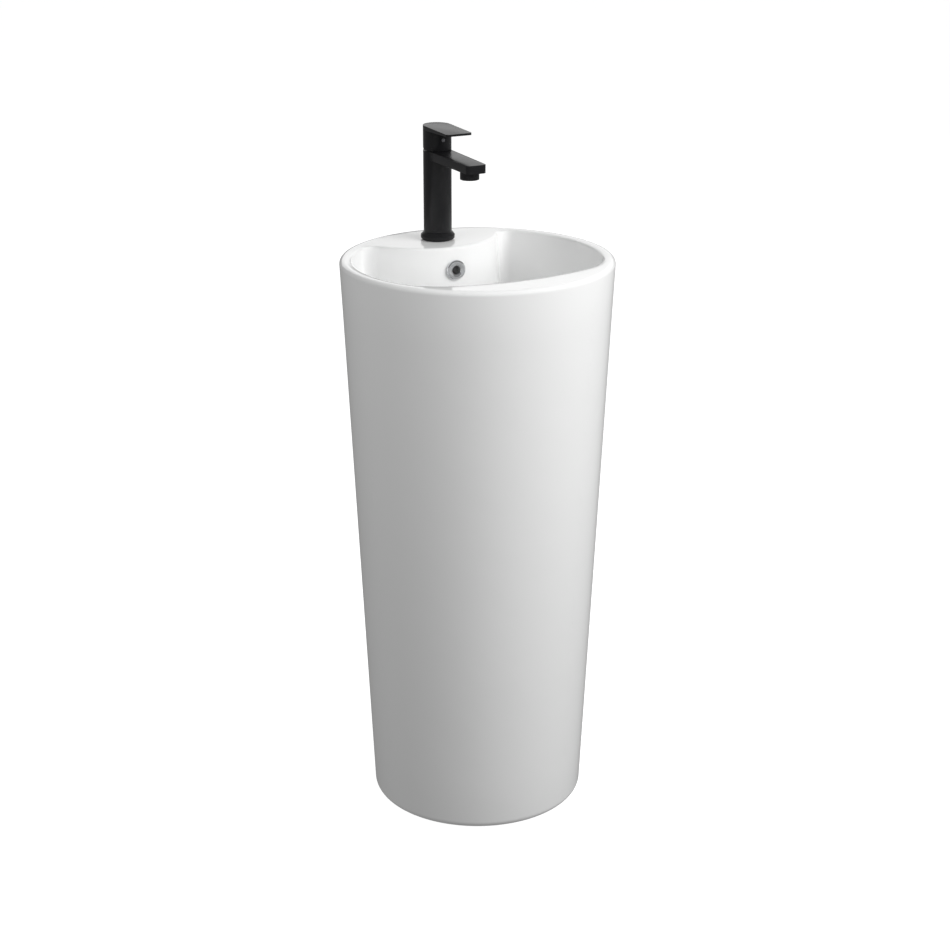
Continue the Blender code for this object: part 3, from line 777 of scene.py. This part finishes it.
def bowl_backing(size):
    """The bowl's outside with its wall thickness, the boss round the waste and the overflow duct's rib."""
    outline = opening(size, BOWL_DRAFT - size.wall, COARSE_POINTS)
    rings = [level(outline, size.height + 0.010)]
    rings += bowl_rings(size, outline, BOSS_RADIUS + 0.004, size.wall, BACKING_STEPS, COARSE_POINTS)
    rings.append(section(size, BOSS_RADIUS, BOSS_FOOT, WASTE_Y, COARSE_POINTS))
    backing = swept("bowl_backing", rings)
    front = size.deck_edge
    profile = [
        (WASTE_Y + 0.010, BOSS_FOOT + 0.002),
        (front + 0.030, BOSS_FOOT + 0.002),
        (front + 0.030, size.height + 0.005),
        (front - 0.002, size.height + 0.005),
        (front - 0.002, size.floor - 0.006),
        (WASTE_Y + 0.010, size.floor - 0.006),
    ]
    join(backing, extruded("duct_rib", profile, -RIB_HALF_WIDTH, RIB_HALF_WIDTH, turn=ACROSS))
    return backing


def pillar_hollow(size):
    """The space inside the pillar, under the bowl and the deck."""
    ceiling = size.height - DECK_THICKNESS
    foot_bore = size.foot_radius - FOOT_WALL
    hollow = swept(
        "pillar_hollow",
        [
            section(size, foot_bore, -0.010, counts=COARSE_POINTS),
            section(size, foot_bore, 0.015, counts=COARSE_POINTS),
            section(size, pillar_radius(size, 0.040) - size.wall, 0.040, counts=COARSE_POINTS),
            section(size, pillar_radius(size, ceiling) - size.wall, ceiling, counts=COARSE_POINTS),
        ],
    )
    cut(hollow, bowl_backing(size))
    soften(hollow, 0.003, 2, 40)
    hollow.data.materials.append(finish_for("biscuit"))
    return hollow


def overflow_place(size):
    """Where the overflow's axis meets the deck's wall, and how far the wall leans."""
    z = size.height - OVERFLOW_DROP
    lean = math.atan(BOWL_DRAFT / (size.height - size.edge_rounding - BOWL_WALL_END))
    y = size.deck_edge - math.tan(lean) * (size.height - size.edge_rounding - z)
    return Vector((0, y, z)), lean


def basin_cutters(size):
    """The duct, the holes and the opening in the back, in the finishes that their walls have."""
    hole_z = size.height - OVERFLOW_DROP
    duct_front = size.deck_edge + 0.009
    duct_back = duct_front + 0.012
    profile = [
        (WASTE_Y, DUCT_FLOOR),
        (duct_back, DUCT_FLOOR),
        (duct_back, hole_z + 0.013),
        (duct_front, hole_z + 0.013),
        (duct_front, DUCT_CEILING),
        (WASTE_Y, DUCT_CEILING),
    ]
    half_height = (ACCESS_HIGH - ACCESS_LOW) / 2
    access = rounded_box(ACCESS_HALF_WIDTH, half_height, ACCESS_CORNER, 14)
    access_at = (0, size.rim_radius, ACCESS_LOW + half_height)
    hole_at = (0, size.deck_edge, hole_z)
    cutters = (
        ("china", extruded("overflow_duct", profile, -DUCT_HALF_WIDTH, DUCT_HALF_WIDTH, turn=ACROSS)),
        ("china", rod("overflow_hole", OVERFLOW_HOLE, -0.020, 0.014, hole_at, BACKWARDS)),
        ("china", rod("waste_hole", WASTE_HOLE, BOSS_FOOT - 0.02, SEAT_Z + 0.02, (0, WASTE_Y, 0))),
        ("china", rod("tap_hole", TAP_HOLE, size.height - 0.03, size.height + 0.01, (0, TAP_Y, 0))),
        ("biscuit", extruded("rear_access", access, -0.08, 0.08, access_at, BACKWARDS)),
    )
    for slot, cutter in cutters:
        cutter.data.materials.append(finish_for(slot))
    return [cutter for _, cutter in cutters]


def bare_the_foot(basin, size):
    """Gives the flat ring that stands on the floor the unglazed finish."""
    names = [material.name for material in basin.data.materials]
    bare = names.index(finish_for("biscuit").name)
    for face in basin.data.polygons:
        if face.normal.z < -0.99 and face.center.z < 0.001:
            face.material_index = bare


class SINK_OT_basin(bpy.types.Operator):
    """Make the one-piece china pillar with its bowl"""

    bl_idname = "sink.basin"
    bl_label = "Basin and pillar"

    def execute(self, context):
        size = context.scene.sink_basin
        basin = swept("basin_china", basin_rings(size))
        basin.data.materials.append(finish_for("china"))
        cut(basin, pillar_hollow(size), *basin_cutters(size))
        bare_the_foot(basin, size)
        hand_over(basin, "china", "root", "ceramic_basin", angle=38)
        return {"FINISHED"}


class SINK_OT_overflow(bpy.types.Operator):
    """Make the dished ring that lines the overflow hole"""

    bl_idname = "sink.overflow"
    bl_label = "Overflow ring"

    def execute(self, context):
        at, lean = overflow_place(context.scene.sink_basin)
        profile = [
            (0.0065, -0.0020), (0.0069, -0.0029), (0.0080, -0.0033), (0.0104, -0.0040), (0.0120, -0.0042),
            (0.0136, -0.0039), (0.0147, -0.0032), (0.0150, -0.0024), (0.0150, -0.0004), (0.0100, -0.0004),
            (0.0100, 0.0060), (0.0088, 0.0060), (0.0088, -0.0015), (0.0065, -0.0012),
        ]
        ring = turned("overflow_trim", profile, at, (-math.pi / 2 - lean, 0, 0))
        hand_over(ring, "chrome", "root", "overflow_ring")
        return {"FINISHED"}


# ---------------------------------------------------------------- waste


class SINK_OT_waste(bpy.types.Operator):
    """Make the waste's flange and tube, the push plug and the nut under the bowl"""

    bl_idname = "sink.waste"
    bl_label = "Waste"

    def execute(self, context):
        here = (0, WASTE_Y, 0)
        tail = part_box("waste_body")[0].z
        flange = SEAT_Z + 0.0021
        profile = [
            (0.0175, tail + 0.0006), (0.0181, tail), (0.0199, tail), (0.0205, tail + 0.0006),
            (0.0205, flange), (0.0316, flange), (0.0323, flange + 0.0005), (0.0325, flange + 0.0014),
            (0.0319, flange + 0.0025), (0.0306, flange + 0.0033), (0.0292, flange + 0.0034),
            (0.0270, flange + 0.0028), (0.0235, flange + 0.0012), (0.0202, flange - 0.0001),
            (0.0185, flange - 0.0009), (0.0175, flange - 0.0026),
        ]
        body = turned("waste_flange_and_tube", profile, here)
        cut(body, block("slots", 0.006, 0.030, DUCT_FLOOR + 0.002, DUCT_CEILING - 0.002, here))
        hand_over(body, "chrome", "root", "waste_body")
        stem_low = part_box("waste_plug")[0].z
        low = flange + 0.0119
        profile = [
            (0, stem_low), (0.0026, stem_low), (0.0030, stem_low + 0.0004), (0.0030, low - 0.0030),
            (0.0080, low - 0.0025), (0.0080, low), (0.0286, low), (0.0298, low + 0.0004),
            (0.0304, low + 0.0011), (0.0304, low + 0.0019), (0.0297, low + 0.0029), (0.0282, low + 0.0036),
            (0.0240, low + 0.0042), (0.0180, low + 0.0047), (0.0110, low + 0.0050), (0.0050, low + 0.0052),
            (0, low + 0.0052),
        ]
        plug = turned("push_plug", profile, here)
        hand_over(plug, "chrome", "plug", "waste_plug")
        nut_low, nut_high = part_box("waste_backnut")
        nut = hex_nut("waste_nut", 0.0209, 0.0310, nut_low.z, nut_high.z, here)
        hand_over(nut, "brass", "root", "waste_backnut")
        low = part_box("click_cartridge")[0].z
        core = tube("click_core", 0.0038, 0.0065, low, low + 0.038, here)
        bar = block("click_spoke", 0.0162, 0.0022, low + 0.0086, low + 0.0114, here)
        join(core, tube("click_ring", 0.0150, 0.0172, low + 0.008, low + 0.012, here), bar)
        cut(core, rod("click_bore", 0.0038, low - 0.004, low + 0.042, here))
        hand_over(core, "white_plastic", "root", "click_cartridge")
        return {"FINISHED"}


# ---------------------------------------------------------------- seals

SEALS = (
    ("waste_top_seal", 0.0235, "rubber", "root"),
    ("waste_lower_seal", 0.0209, "rubber", "root"),
    ("waste_slip_washer", 0.0209, "white_plastic", "root"),
    ("plug_seal", 0.0195, "rubber", "plug"),
    ("trap_inlet_seal", 0.0209, "rubber", "root"),
    ("trap_cup_seal", 0.0262, "rubber", "root"),
    ("tap_base_seal", 0.0185, "rubber", "root"),
    ("aerator_washer", 0.0050, "rubber", "root"),
    ("cartridge_seal", 0.0118, "rubber", "root"),
)


class SINK_OT_seals(bpy.types.Operator):
    """Make the flat washers of the waste, trap and tap, with soft edges"""

    bl_idname = "sink.seals"
    bl_label = "Seals and washers"

    def execute(self, context):
        for node, bore, slot, body in SEALS:
            low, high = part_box(node)
            centre = middle(node)
            seal = tube(f"{node}_ring", bore, (high.x - low.x) / 2, low.z, high.z, (0, centre.y, 0))
            soften(seal, (high.z - low.z) * 0.25, 2)
            hand_over(seal, slot, body, node)
        return {"FINISHED"}


# ---------------------------------------------------------------- trap


def hex_nut(name, bore, corner_radius, low, high, at):
    """A six-sided nut with its corners turned down at both ends."""
    nut = rod(name, corner_radius, low, high, at, sides=6)
    inner, drop = corner_radius * 0.89, corner_radius * 0.06
    crown = [
        (0, low), (inner, low), (corner_radius, low + drop), (corner_radius, high - drop), (inner, high),
        (0, high),
    ]
    combine(nut, "INTERSECT", [turned(f"{name}_crown", crown, at)])
    cut(nut, rod(f"{name}_bore", bore, low - 0.01, high + 0.01, at))
    return nut


def gripped(name, profile, at, turn, ribs, depth, low, high):
    """A turned cap or nut whose side carries upright grip ribs between two heights."""
    sides = ribs * 4
    piece = turned(name, profile, sides=sides)
    pick(piece)
    bpy.ops.object.mode_set(mode="EDIT")
    bpy.ops.mesh.select_all(action="DESELECT")
    bpy.ops.mesh.select_mode(type="FACE")
    shape = bmesh.from_edit_mesh(piece.data)
    for face in shape.faces:
        centre = face.calc_center_median()
        place_round = math.atan2(centre.y, centre.x) / (2 * math.pi) * sides
        outward = face.normal.x * centre.x + face.normal.y * centre.y
        on_side = abs(face.normal.z) < 0.05 and outward > 0 and low < centre.z < high
        if on_side and math.floor(place_round) % 4 in (0, 1):
            face.select_set(True)
    bmesh.update_edit_mesh(piece.data)
    bpy.ops.mesh.extrude_region_shrink_fatten(TRANSFORM_OT_shrink_fatten={"value": depth})
    bpy.ops.mesh.select_all(action="DESELECT")
    bpy.ops.mesh.select_mode(type="VERT")
    bpy.ops.object.mode_set(mode="OBJECT")
    soften(piece, 0.0004, 2)
    return place(piece, at, turn)


class SINK_OT_trap(bpy.types.Operator):
    """Make the bottle trap with its ribbed nuts and cup, the outlet pipe and the wall flange"""

    bl_idname = "sink.trap"
    bl_label = "Bottle trap"

    def execute(self, context):
        here = (0, WASTE_Y, 0)
        outlet = (0, WASTE_Y, OUTLET_Z)
        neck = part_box("trap_body")[1].z
        profile = [
            (0.0268, 0.545), (0.0294, 0.545), (0.0300, 0.5456), (0.0300, 0.5990), (0.0296, 0.6008),
            (0.0262, 0.6026), (0.0250, 0.6036), (0.0245, 0.6050), (0.0245, neck), (0.0213, neck),
            (0.0213, 0.6125), (0.0192, 0.6125), (0.0192, 0.6080), (0.0268, 0.6000),
        ]
        body = turned("trap_shell", profile, here)
        join(body, rod("spigot", 0.0165, 0.024, 0.060, outlet, BACKWARDS))
        cut(
            body,
            rod("bore", 0.0266, 0.540, 0.600, here),
            rod("port", 0.0135, 0.010, 0.080, outlet, BACKWARDS),
        )
        hand_over(body, "white_plastic", "root", "trap_body")
        profile = [
            (0.0209, neck + 0.0037), (0.0209, neck + 0.0080), (0.0262, neck + 0.0080),
            (0.0272, neck + 0.0076), (0.0278, neck + 0.0062), (0.0278, neck - 0.0150),
            (0.0272, neck - 0.0160), (0.0248, neck - 0.0160), (0.0248, neck + 0.0037),
        ]
        nut = gripped("trap_top_nut", profile, here, (0, 0, 0), 30, 0.0010, neck - 0.015, neck + 0.006)
        hand_over(nut, "white_plastic", "root", "trap_inlet_nut")
        dip_low, dip_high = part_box("trap_dip_tube")
        profile = [
            (0.0165, dip_low.z), (0.0180, dip_low.z), (0.0185, dip_low.z + 0.0005), (0.0185, 0.6128),
            (0.0208, 0.6128), (0.0208, dip_high.z), (0.0165, dip_high.z),
        ]
        hand_over(turned("dip_tube", profile, here), "white_plastic", "root", "trap_dip_tube")
        low, high = (corner.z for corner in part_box("trap_cup"))
        profile = [
            (0, low + 0.0012), (0.0110, low + 0.0012), (0.0124, low + 0.0002), (0.0140, low),
            (0.0290, low), (0.0308, low + 0.0008), (0.0322, low + 0.0026), (0.0325, low + 0.0050),
            (0.0325, high - 0.0260), (0.0332, high - 0.0250), (0.0332, high - 0.0010), (0.0324, high),
            (0.0304, high), (0.0304, high - 0.0185), (0.0272, high - 0.0185), (0.0272, low + 0.0080),
            (0, low + 0.0040),
        ]
        cup = gripped("trap_bottle", profile, here, (0, 0, 0), 36, 0.0008, low + 0.004, high - 0.028)
        hand_over(cup, "white_plastic", "root", "trap_cup")
        profile = [
            (0.0169, 0.0440), (0.0208, 0.0440), (0.0215, 0.0448), (0.0217, 0.0460), (0.0217, 0.0664),
            (0.0210, 0.0680), (0.0164, 0.0680), (0.0164, 0.0637), (0.0169, 0.0637),
        ]
        nut = gripped("outlet_coupling", profile, outlet, BACKWARDS, 24, 0.0008, 0.0462, 0.0662)
        hand_over(nut, "white_plastic", "root", "outlet_nut")
        seal = tube("outlet_washer", 0.0136, 0.0165, 0.0603, 0.0630, outlet, BACKWARDS)
        soften(seal, 0.0006, 2)
        hand_over(seal, "rubber", "root", "outlet_seal")
        pipe_low, pipe_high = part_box("outlet_pipe")
        pipe = tube(
            "waste_pipe", 0.0135, 0.0160, pipe_low.y - WASTE_Y, pipe_high.y - WASTE_Y, outlet, BACKWARDS
        )
        soften(pipe, 0.0004, 2)
        hand_over(pipe, "chrome", "root", "outlet_pipe")
        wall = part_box("wall_flange")[1].y - WASTE_Y
        profile = [
            (0.0164, wall - 0.0086), (0.0168, wall - 0.0090), (0.0180, wall - 0.0090),
            (0.0192, wall - 0.0084), (0.0210, wall - 0.0072), (0.0240, wall - 0.0055),
            (0.0275, wall - 0.0038), (0.0300, wall - 0.0026), (0.0308, wall - 0.0016), (0.0310, wall),
            (0.0290, wall), (0.0270, wall - 0.0022), (0.0210, wall - 0.0056), (0.0176, wall - 0.0072),
            (0.0164, wall - 0.0072),
        ]
        hand_over(turned("wall_rose", profile, outlet, BACKWARDS), "chrome", "root", "wall_flange")
        return {"FINISHED"}


# ---------------------------------------------------------------- tap

AERATOR_REACH = 0.106
BODY_FOOT = 0.0125
SPOUT_ROOT_HALF_WIDTH = 0.0180
SPOUT_TIP_HALF_WIDTH = 0.0157
SPOUT_CORNER = 0.0055
SPOUT_FALL = math.radians(0.7)
CHAMBER_RADIUS = 0.0166
CHAMBER_FLOOR = 0.1140
WAYS_X = (-0.0065, 0.0065)
LEVER_TIP_HALF_WIDTH = 0.0205
LEVER_CORNER = 0.0040
LEVER_THICKNESS = 0.0065
LEVER_SWELL = 0.045
LEVER_FALL = math.radians(1.3)
LIFT_LIMIT = math.radians(22)
INDEX_HEIGHT = 0.0168


def barred_rings(radius, reach, half_root, half_tip, corner):
    """A circle, and the outline of a bar that runs from it towards -Y, with points that match.

    The bar leaves the circle where the circle is half_root from the middle, and has a rounded tip.
    """
    leave = math.asin(min(1.0, half_root / radius))
    rear = 64
    span = 2 * math.pi - 2 * leave
    arc = [-math.pi / 2 + leave + span * i / rear for i in range(rear + 1)]
    circle = [(radius * math.cos(a), radius * math.sin(a)) for a in arc]
    bar = list(circle)
    side, turn_steps, tip = 8, 10, 6
    root_y = -radius * math.cos(leave)
    front = []
    for i in range(1, side):
        share = i / side
        half = half_root + (half_tip - half_root) * share
        front.append((-half, root_y + (corner - reach - root_y) * share))
    for i in range(turn_steps + 1):
        angle = math.pi + math.pi / 2 * i / turn_steps
        x = corner - half_tip + corner * math.cos(angle)
        front.append((x, corner - reach + corner * math.sin(angle)))
    for i in range(1, tip):
        front.append(((2 * i / tip - 1) * (half_tip - corner), -reach))
    front += [(-x, y) for x, y in reversed(front[: side + turn_steps])]
    bar += front
    for i in range(1, len(front) + 1):
        angle = -math.pi / 2 - leave + 2 * leave * i / (len(front) + 1)
        circle.append((radius * math.cos(angle), radius * math.sin(angle)))
    return circle, bar


class SINK_OT_tap_body(bpy.types.Operator):
    """Make the tap's upright body with its flat spout in one casting"""

    bl_idname = "sink.tap_body"
    bl_label = "Tap body and spout"

    def execute(self, context):
        size = context.scene.sink_tap
        deck = context.scene.sink_basin.height
        here = (0, TAP_Y, deck)
        circle, bar = barred_rings(
            size.radius, size.spout_reach, SPOUT_ROOT_HALF_WIDTH, SPOUT_TIP_HALF_WIDTH, SPOUT_CORNER
        )
        root_y = -math.sqrt(size.radius**2 - SPOUT_ROOT_HALF_WIDTH**2)
        fall = math.tan(SPOUT_FALL)

        def sloping(outline, z):
            return [(x, y, z + fall * min(0.0, y - root_y)) for x, y in outline]

        under = size.seam - size.spout_thickness
        rings = [
            level(circle, BODY_FOOT), sloping(circle, under), sloping(bar, under), sloping(bar, size.seam),
            level(circle, size.seam),
        ]
        body = swept("tap_casting", rings, here)
        soften(body, size.soft_edge)
        channel_z = size.seam - size.spout_thickness / 2 - 0.0007
        ways = [rod("way", 0.0042, 0.0, 0.120, (x, TAP_Y - 0.004, deck), sides=32) for x in WAYS_X]
        stud = (0, TAP_Y + 0.0115, deck)
        cut(
            body,
            rod("chamber", CHAMBER_RADIUS, CHAMBER_FLOOR, size.seam + 0.01, here),
            rod("channel", 0.0038, -AERATOR_REACH, 0, (0, TAP_Y, deck + channel_z), BACKWARDS, 32),
            rod("mouth", 0.0105, channel_z - 0.02, channel_z + 0.0005, (0, TAP_Y - AERATOR_REACH, deck)),
            rod("stud_hole", 0.0043, BODY_FOOT - 0.01, BODY_FOOT + 0.012, stud, sides=32),
            *ways,
        )
        hand_over(body, "black", "root", "tap_body")
        profile = [
            (0.0176, 0.0021), (0.0247, 0.0021), (0.0253, 0.0023), (0.0255, 0.0029), (0.0255, 0.0066),
            (0.0253, 0.0073), (0.0248, 0.0080), (0.0220, 0.0114), (0.0214, 0.0120), (0.0209, 0.0122),
            (0.0176, 0.0122),
        ]
        hand_over(turned("tap_foot_ring", profile, here), "black", "root", "tap_base_ring")
        return {"FINISHED"}


class SINK_OT_aerator(bpy.types.Operator):
    """Make the collar under the spout's tip and the insert with its rings of jets"""

    bl_idname = "sink.aerator"
    bl_label = "Aerator"

    def execute(self, context):
        size = context.scene.sink_tap
        here = (0, TAP_Y - AERATOR_REACH, context.scene.sink_basin.height)
        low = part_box("aerator_collar")[0].z - here[2]
        profile = [
            (0.0092, low), (0.0134, low), (0.0138, low + 0.0002), (0.0140, low + 0.0006),
            (0.0140, low + 0.0108), (0.0138, low + 0.0112), (0.0134, low + 0.0113), (0.0102, low + 0.0113),
            (0.0102, low + 0.0143), (0.0092, low + 0.0143),
        ]
        collar = turned("aerator_shell", profile, here)
        for angle, at in spaced(here, 0.0164, 4):
            cut(collar, block("key_flat", 0.0030, 0.0040, low - 0.001, low + 0.0028, at, (0, 0, angle)))
        hand_over(collar, "black", "root", "aerator_collar")
        face = low + 0.0012
        profile = [
            (0, face + 0.0010), (0.0070, face + 0.0010), (0.0074, face + 0.0002), (0.0078, face),
            (0.0085, face), (0.0089, face + 0.0004), (0.0089, face + 0.0128), (0, face + 0.0128),
        ]
        insert = turned("aerator_jets", profile, here)
        for _, at in spaced(here, 0.0053, 6, 0.5):
            cut(insert, rod("jet", 0.0016, low - 0.005, low + 0.02, at, sides=24))
        hand_over(insert, "white_plastic", "root", "aerator_insert")
        return {"FINISHED"}


class SINK_OT_handle(bpy.types.Operator):
    """Make the handle with its flat lever, and the index button on its front"""

    bl_idname = "sink.handle"
    bl_label = "Handle"

    def execute(self, context):
        size = context.scene.sink_tap
        deck = context.scene.sink_basin.height
        here = (0, TAP_Y, deck)
        low = size.seam + 0.0006
        pivot = size.seam - 0.001
        fall = math.tan(LEVER_FALL)
        circle, bar = barred_rings(
            size.radius, size.lever_reach, size.radius, LEVER_TIP_HALF_WIDTH, LEVER_CORNER
        )
        edge = size.lever_top - LEVER_THICKNESS

        def under(outline):
            return [(x, y, edge + LEVER_SWELL * max(0.0, -y) + fall * y) for x, y in outline]

        top = [(x, y, size.lever_top + fall * y) for x, y in bar]
        handle = swept("lever_handle", [level(circle, low), under(circle), under(bar), top], here)
        soften(handle, size.soft_edge)
        rear = low + math.tan(LIFT_LIMIT) * 0.0302
        wedge = [(-0.0002, 0.120), (0.030, 0.120), (0.030, rear), (-0.0002, low)]
        index_at = (0, TAP_Y - size.radius, deck + size.seam + INDEX_HEIGHT)
        cut(
            handle,
            rod("bore", 0.0165, 0.120, pivot + 0.0150, here),
            block("socket", 0.0031, 0.0033, pivot + 0.010, pivot + 0.0245, here),
            extruded("relief", wedge, -0.03, 0.03, here, ACROSS),
            rod("index_hole", 0.0034, -0.005, 0.030, index_at, BACKWARDS, 48),
        )
        apply_modifier(handle, "WELD", merge_threshold=SLIVER)
        hand_over(handle, "black", "tap_lever", "tap_handle")
        profile = [
            (0, -0.0005), (0.0014, -0.0005), (0.0023, -0.0003), (0.0028, 0.0001), (0.0030, 0.0006),
            (0.0030, 0.0050), (0, 0.0050),
        ]
        button = turned("index_button", profile, index_at, BACKWARDS, 48)
        hand_over(button, "index", "tap_lever", "index_plug")
        return {"FINISHED"}


class SINK_OT_cartridge(bpy.types.Operator):
    """Make the domed cap over the cartridge"""

    bl_idname = "sink.cartridge"
    bl_label = "Cartridge"

    def execute(self, context):
        here = (0, TAP_Y, context.scene.sink_basin.height)
        profile = [
            (0.0090, 0.1343), (0.0155, 0.1343), (0.0155, 0.1350), (0.0150, 0.1356), (0.0142, 0.1361),
            (0.0128, 0.1367), (0.0112, 0.1371), (0.0094, 0.1372), (0.0090, 0.1371),
        ]
        hand_over(turned("cartridge_dome", profile, here), "steel", "root", "cartridge_cap")
        return {"FINISHED"}


class SINK_OT_fixing(bpy.types.Operator):
    """Make the threaded stud, the horseshoe washers and the nut that hold the tap under the deck"""

    bl_idname = "sink.fixing"
    bl_label = "Tap fixing"

    def execute(self, context):
        stud = middle("fixing_stud")
        low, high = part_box("fixing_stud")
        at = (stud.x, stud.y, 0)
        profile = [(0, low.z), (0.0034, low.z)]
        threads = 27
        for i in range(threads):
            z = low.z + 0.0006 + 0.0012 * i
            profile += [(0.0040, z), (0.0040, z + 0.0002), (0.0035, z + 0.0006), (0.0035, z + 0.0008)]
        profile += [(0.0040, profile[-1][1] + 0.0004), (0.0040, high.z), (0, high.z)]
        hand_over(turned("threaded_stud", profile, at, sides=32), "steel", "root", "fixing_stud")
        for node, slot in (("horseshoe_seal", "rubber"), ("horseshoe_washer", "steel")):
            low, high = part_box(node)
            washer = rod(f"{node}_plate", 0.0215, low.z, high.z, (0, TAP_Y, 0))
            mouth = block("mouth", 0.0125, 0.0150, low.z - 0.01, high.z + 0.01, (0, TAP_Y - 0.0100, 0))
            cut(washer, mouth, rod("hole", 0.0044, low.z - 0.01, high.z + 0.01, at, sides=32))
            soften(washer, 0.0004, 2)
            hand_over(washer, slot, "root", node)
        low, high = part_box("fixing_nut")
        hand_over(hex_nut("long_nut", 0.0044, 0.0080, low.z, high.z, at), "brass", "root", "fixing_nut")
        return {"FINISHED"}


class SINK_OT_inner_parts(bpy.types.Operator):
    """Give the solids that stay as they are the finish of their material slot"""

    bl_idname = "sink.inner_parts"
    bl_label = "Inner parts"

    def execute(self, context):
        for part in frame["record"]["subparts"]:
            node = frame["nodes"][part["node"]]
            for place_of_finish in node.material_slots:
                place_of_finish.material = finish_for(part["material_slot"])
        return {"FINISHED"}


class SINK_OT_finishes(bpy.types.Operator):
    """Make the finishes of the china, coating, metals, rubber and plastics"""

    bl_idname = "sink.finishes"
    bl_label = "Finishes"

    def execute(self, context):
        for make in FINISHES.values():
            make(context.scene.sink_colours)
        return {"FINISHED"}


# ---------------------------------------------------------------- stage

FLOOR_REACH = 40.0
LENS_LEFT = 0.0036
# For each light: its width and height, its place towards the camera, to the right and up, and the height
# that it is aimed at
LIGHTS = {
    "key": (1.8, 1.8, (0.94, 1.77, 1.9), 0.7),
    "fill": (1.4, 1.4, (1.16, -1.38, 1.8), 0.8),
    "back": (6.0, 3.0, (-4.5, 0.0, 3.1), 1.0),
}


def floor_finish():
    shader = Shader("pale_floor")
    cloud = shader.noise(3, 2)
    shader.set("Base Color", shader.mix(cloud, (0.49, 0.49, 0.49, 1), (0.51, 0.51, 0.51, 1)))
    shader.set("Roughness", 0.9)
    shader.set("Emission Color", (1, 1, 1, 1))
    shader.set("Emission Strength", 0.87)
    return shader.material


def area_light(name, watts, width, height, at, aim):
    data = bpy.data.lights.new(name, "AREA")
    data.shape = "RECTANGLE"
    data.size = width
    data.size_y = height
    data.energy = watts
    light = bpy.data.objects.new(name, data)
    bpy.context.scene.collection.objects.link(light)
    light.location = at
    light.rotation_euler = (Vector(aim) - Vector(at)).to_track_quat("-Z", "Y").to_euler()
    return light


def studio_world(strength):
    """Even grey light from all round, with white shown straight to the camera."""
    world = bpy.data.worlds.new("studio")
    world.use_nodes = True
    nodes, links = world.node_tree.nodes, world.node_tree.links
    nodes.clear()
    dim = nodes.new("ShaderNodeBackground")
    dim.inputs["Strength"].default_value = strength
    white = nodes.new("ShaderNodeBackground")
    white.inputs["Color"].default_value = (1, 1, 1, 1)
    rays = nodes.new("ShaderNodeLightPath")
    mix = nodes.new("ShaderNodeMixShader")
    out = nodes.new("ShaderNodeOutputWorld")
    dim.inputs["Color"].default_value = (1, 1, 1, 1)
    links.new(rays.outputs["Is Camera Ray"], mix.inputs[0])
    links.new(dim.outputs[0], mix.inputs[1])
    links.new(white.outputs[0], mix.inputs[2])
    links.new(mix.outputs[0], out.inputs["Surface"])
    bpy.context.scene.world = world


class SINK_OT_stage(bpy.types.Operator):
    """Make the camera, the pale floor and the soft studio light"""

    bl_idname = "sink.stage"
    bl_label = "Stage"

    def execute(self, context):
        stage = context.scene.sink_stage
        lens = bpy.data.cameras.new("camera")
        lens.lens = stage.lens
        lens.clip_end = 200
        camera = bpy.data.objects.new("camera", lens)
        context.scene.collection.objects.link(camera)
        back = Vector((math.sin(stage.bearing), -math.cos(stage.bearing), 0))
        side = Vector((math.cos(stage.bearing), math.sin(stage.bearing), 0))
        camera.location = back * stage.distance - side * LENS_LEFT + Vector((0, 0, stage.camera_height))
        camera.rotation_euler = (math.pi / 2 - stage.pitch, 0, stage.bearing)
        context.scene.camera = camera
        deselect()
        bpy.ops.mesh.primitive_circle_add(vertices=64, radius=FLOOR_REACH, fill_type="NGON")
        floor = context.active_object
        floor.name = "floor"
        floor.data.materials.append(floor_finish())
        floor.visible_diffuse = False
        floor.visible_glossy = False
        for name, (width, height, (ahead, right, up), aim) in LIGHTS.items():
            at = back * ahead + side * right + Vector((0, 0, up))
            light = area_light(f"{name}_light", getattr(stage, name), width, height, at, (0, 0, aim))
            light.visible_glossy = name == "back"
        studio_world(stage.ambient)
        context.scene.view_settings.view_transform = "Standard"
        return {"FINISHED"}


class SINK_PT_panel(bpy.types.Panel):
    """Lists the steps that make the sink, and its sizes and colours"""

    bl_label = "Pedestal sink"
    bl_idname = "SINK_PT_panel"
    bl_space_type = "VIEW_3D"
    bl_region_type = "UI"
    bl_category = "Sink"

    def draw(self, context):
        for operator in STEPS:
            self.layout.operator(operator.bl_idname)
        for group, kind in GROUPS.items():
            box = self.layout.box()
            for name in kind.__annotations__:
                box.prop(getattr(context.scene, group), name)


GROUPS = {
    "sink_basin": BasinSizes,
    "sink_tap": TapSizes,
    "sink_colours": FinishColours,
    "sink_stage": StageSettings,
}
STEPS = (
    SINK_OT_finishes,
    SINK_OT_inner_parts,
    SINK_OT_basin,
    SINK_OT_overflow,
    SINK_OT_waste,
    SINK_OT_seals,
    SINK_OT_trap,
    SINK_OT_tap_body,
    SINK_OT_aerator,
    SINK_OT_handle,
    SINK_OT_cartridge,
    SINK_OT_fixing,
    SINK_OT_stage,
)


def register():
    for kind in (*GROUPS.values(), *STEPS, SINK_PT_panel):
        bpy.utils.register_class(kind)
    for group, kind in GROUPS.items():
        setattr(bpy.types.Scene, group, PointerProperty(type=kind))


def unregister():
    for group in GROUPS:
        delattr(bpy.types.Scene, group)
    for kind in reversed((*GROUPS.values(), *STEPS, SINK_PT_panel)):
        bpy.utils.unregister_class(kind)


def main():
    register()
    for step in STEPS:
        family, name = step.bl_idname.split(".")
        getattr(getattr(bpy.ops, family), name)()
    deselect()


if __name__ == "__main__":
    main()
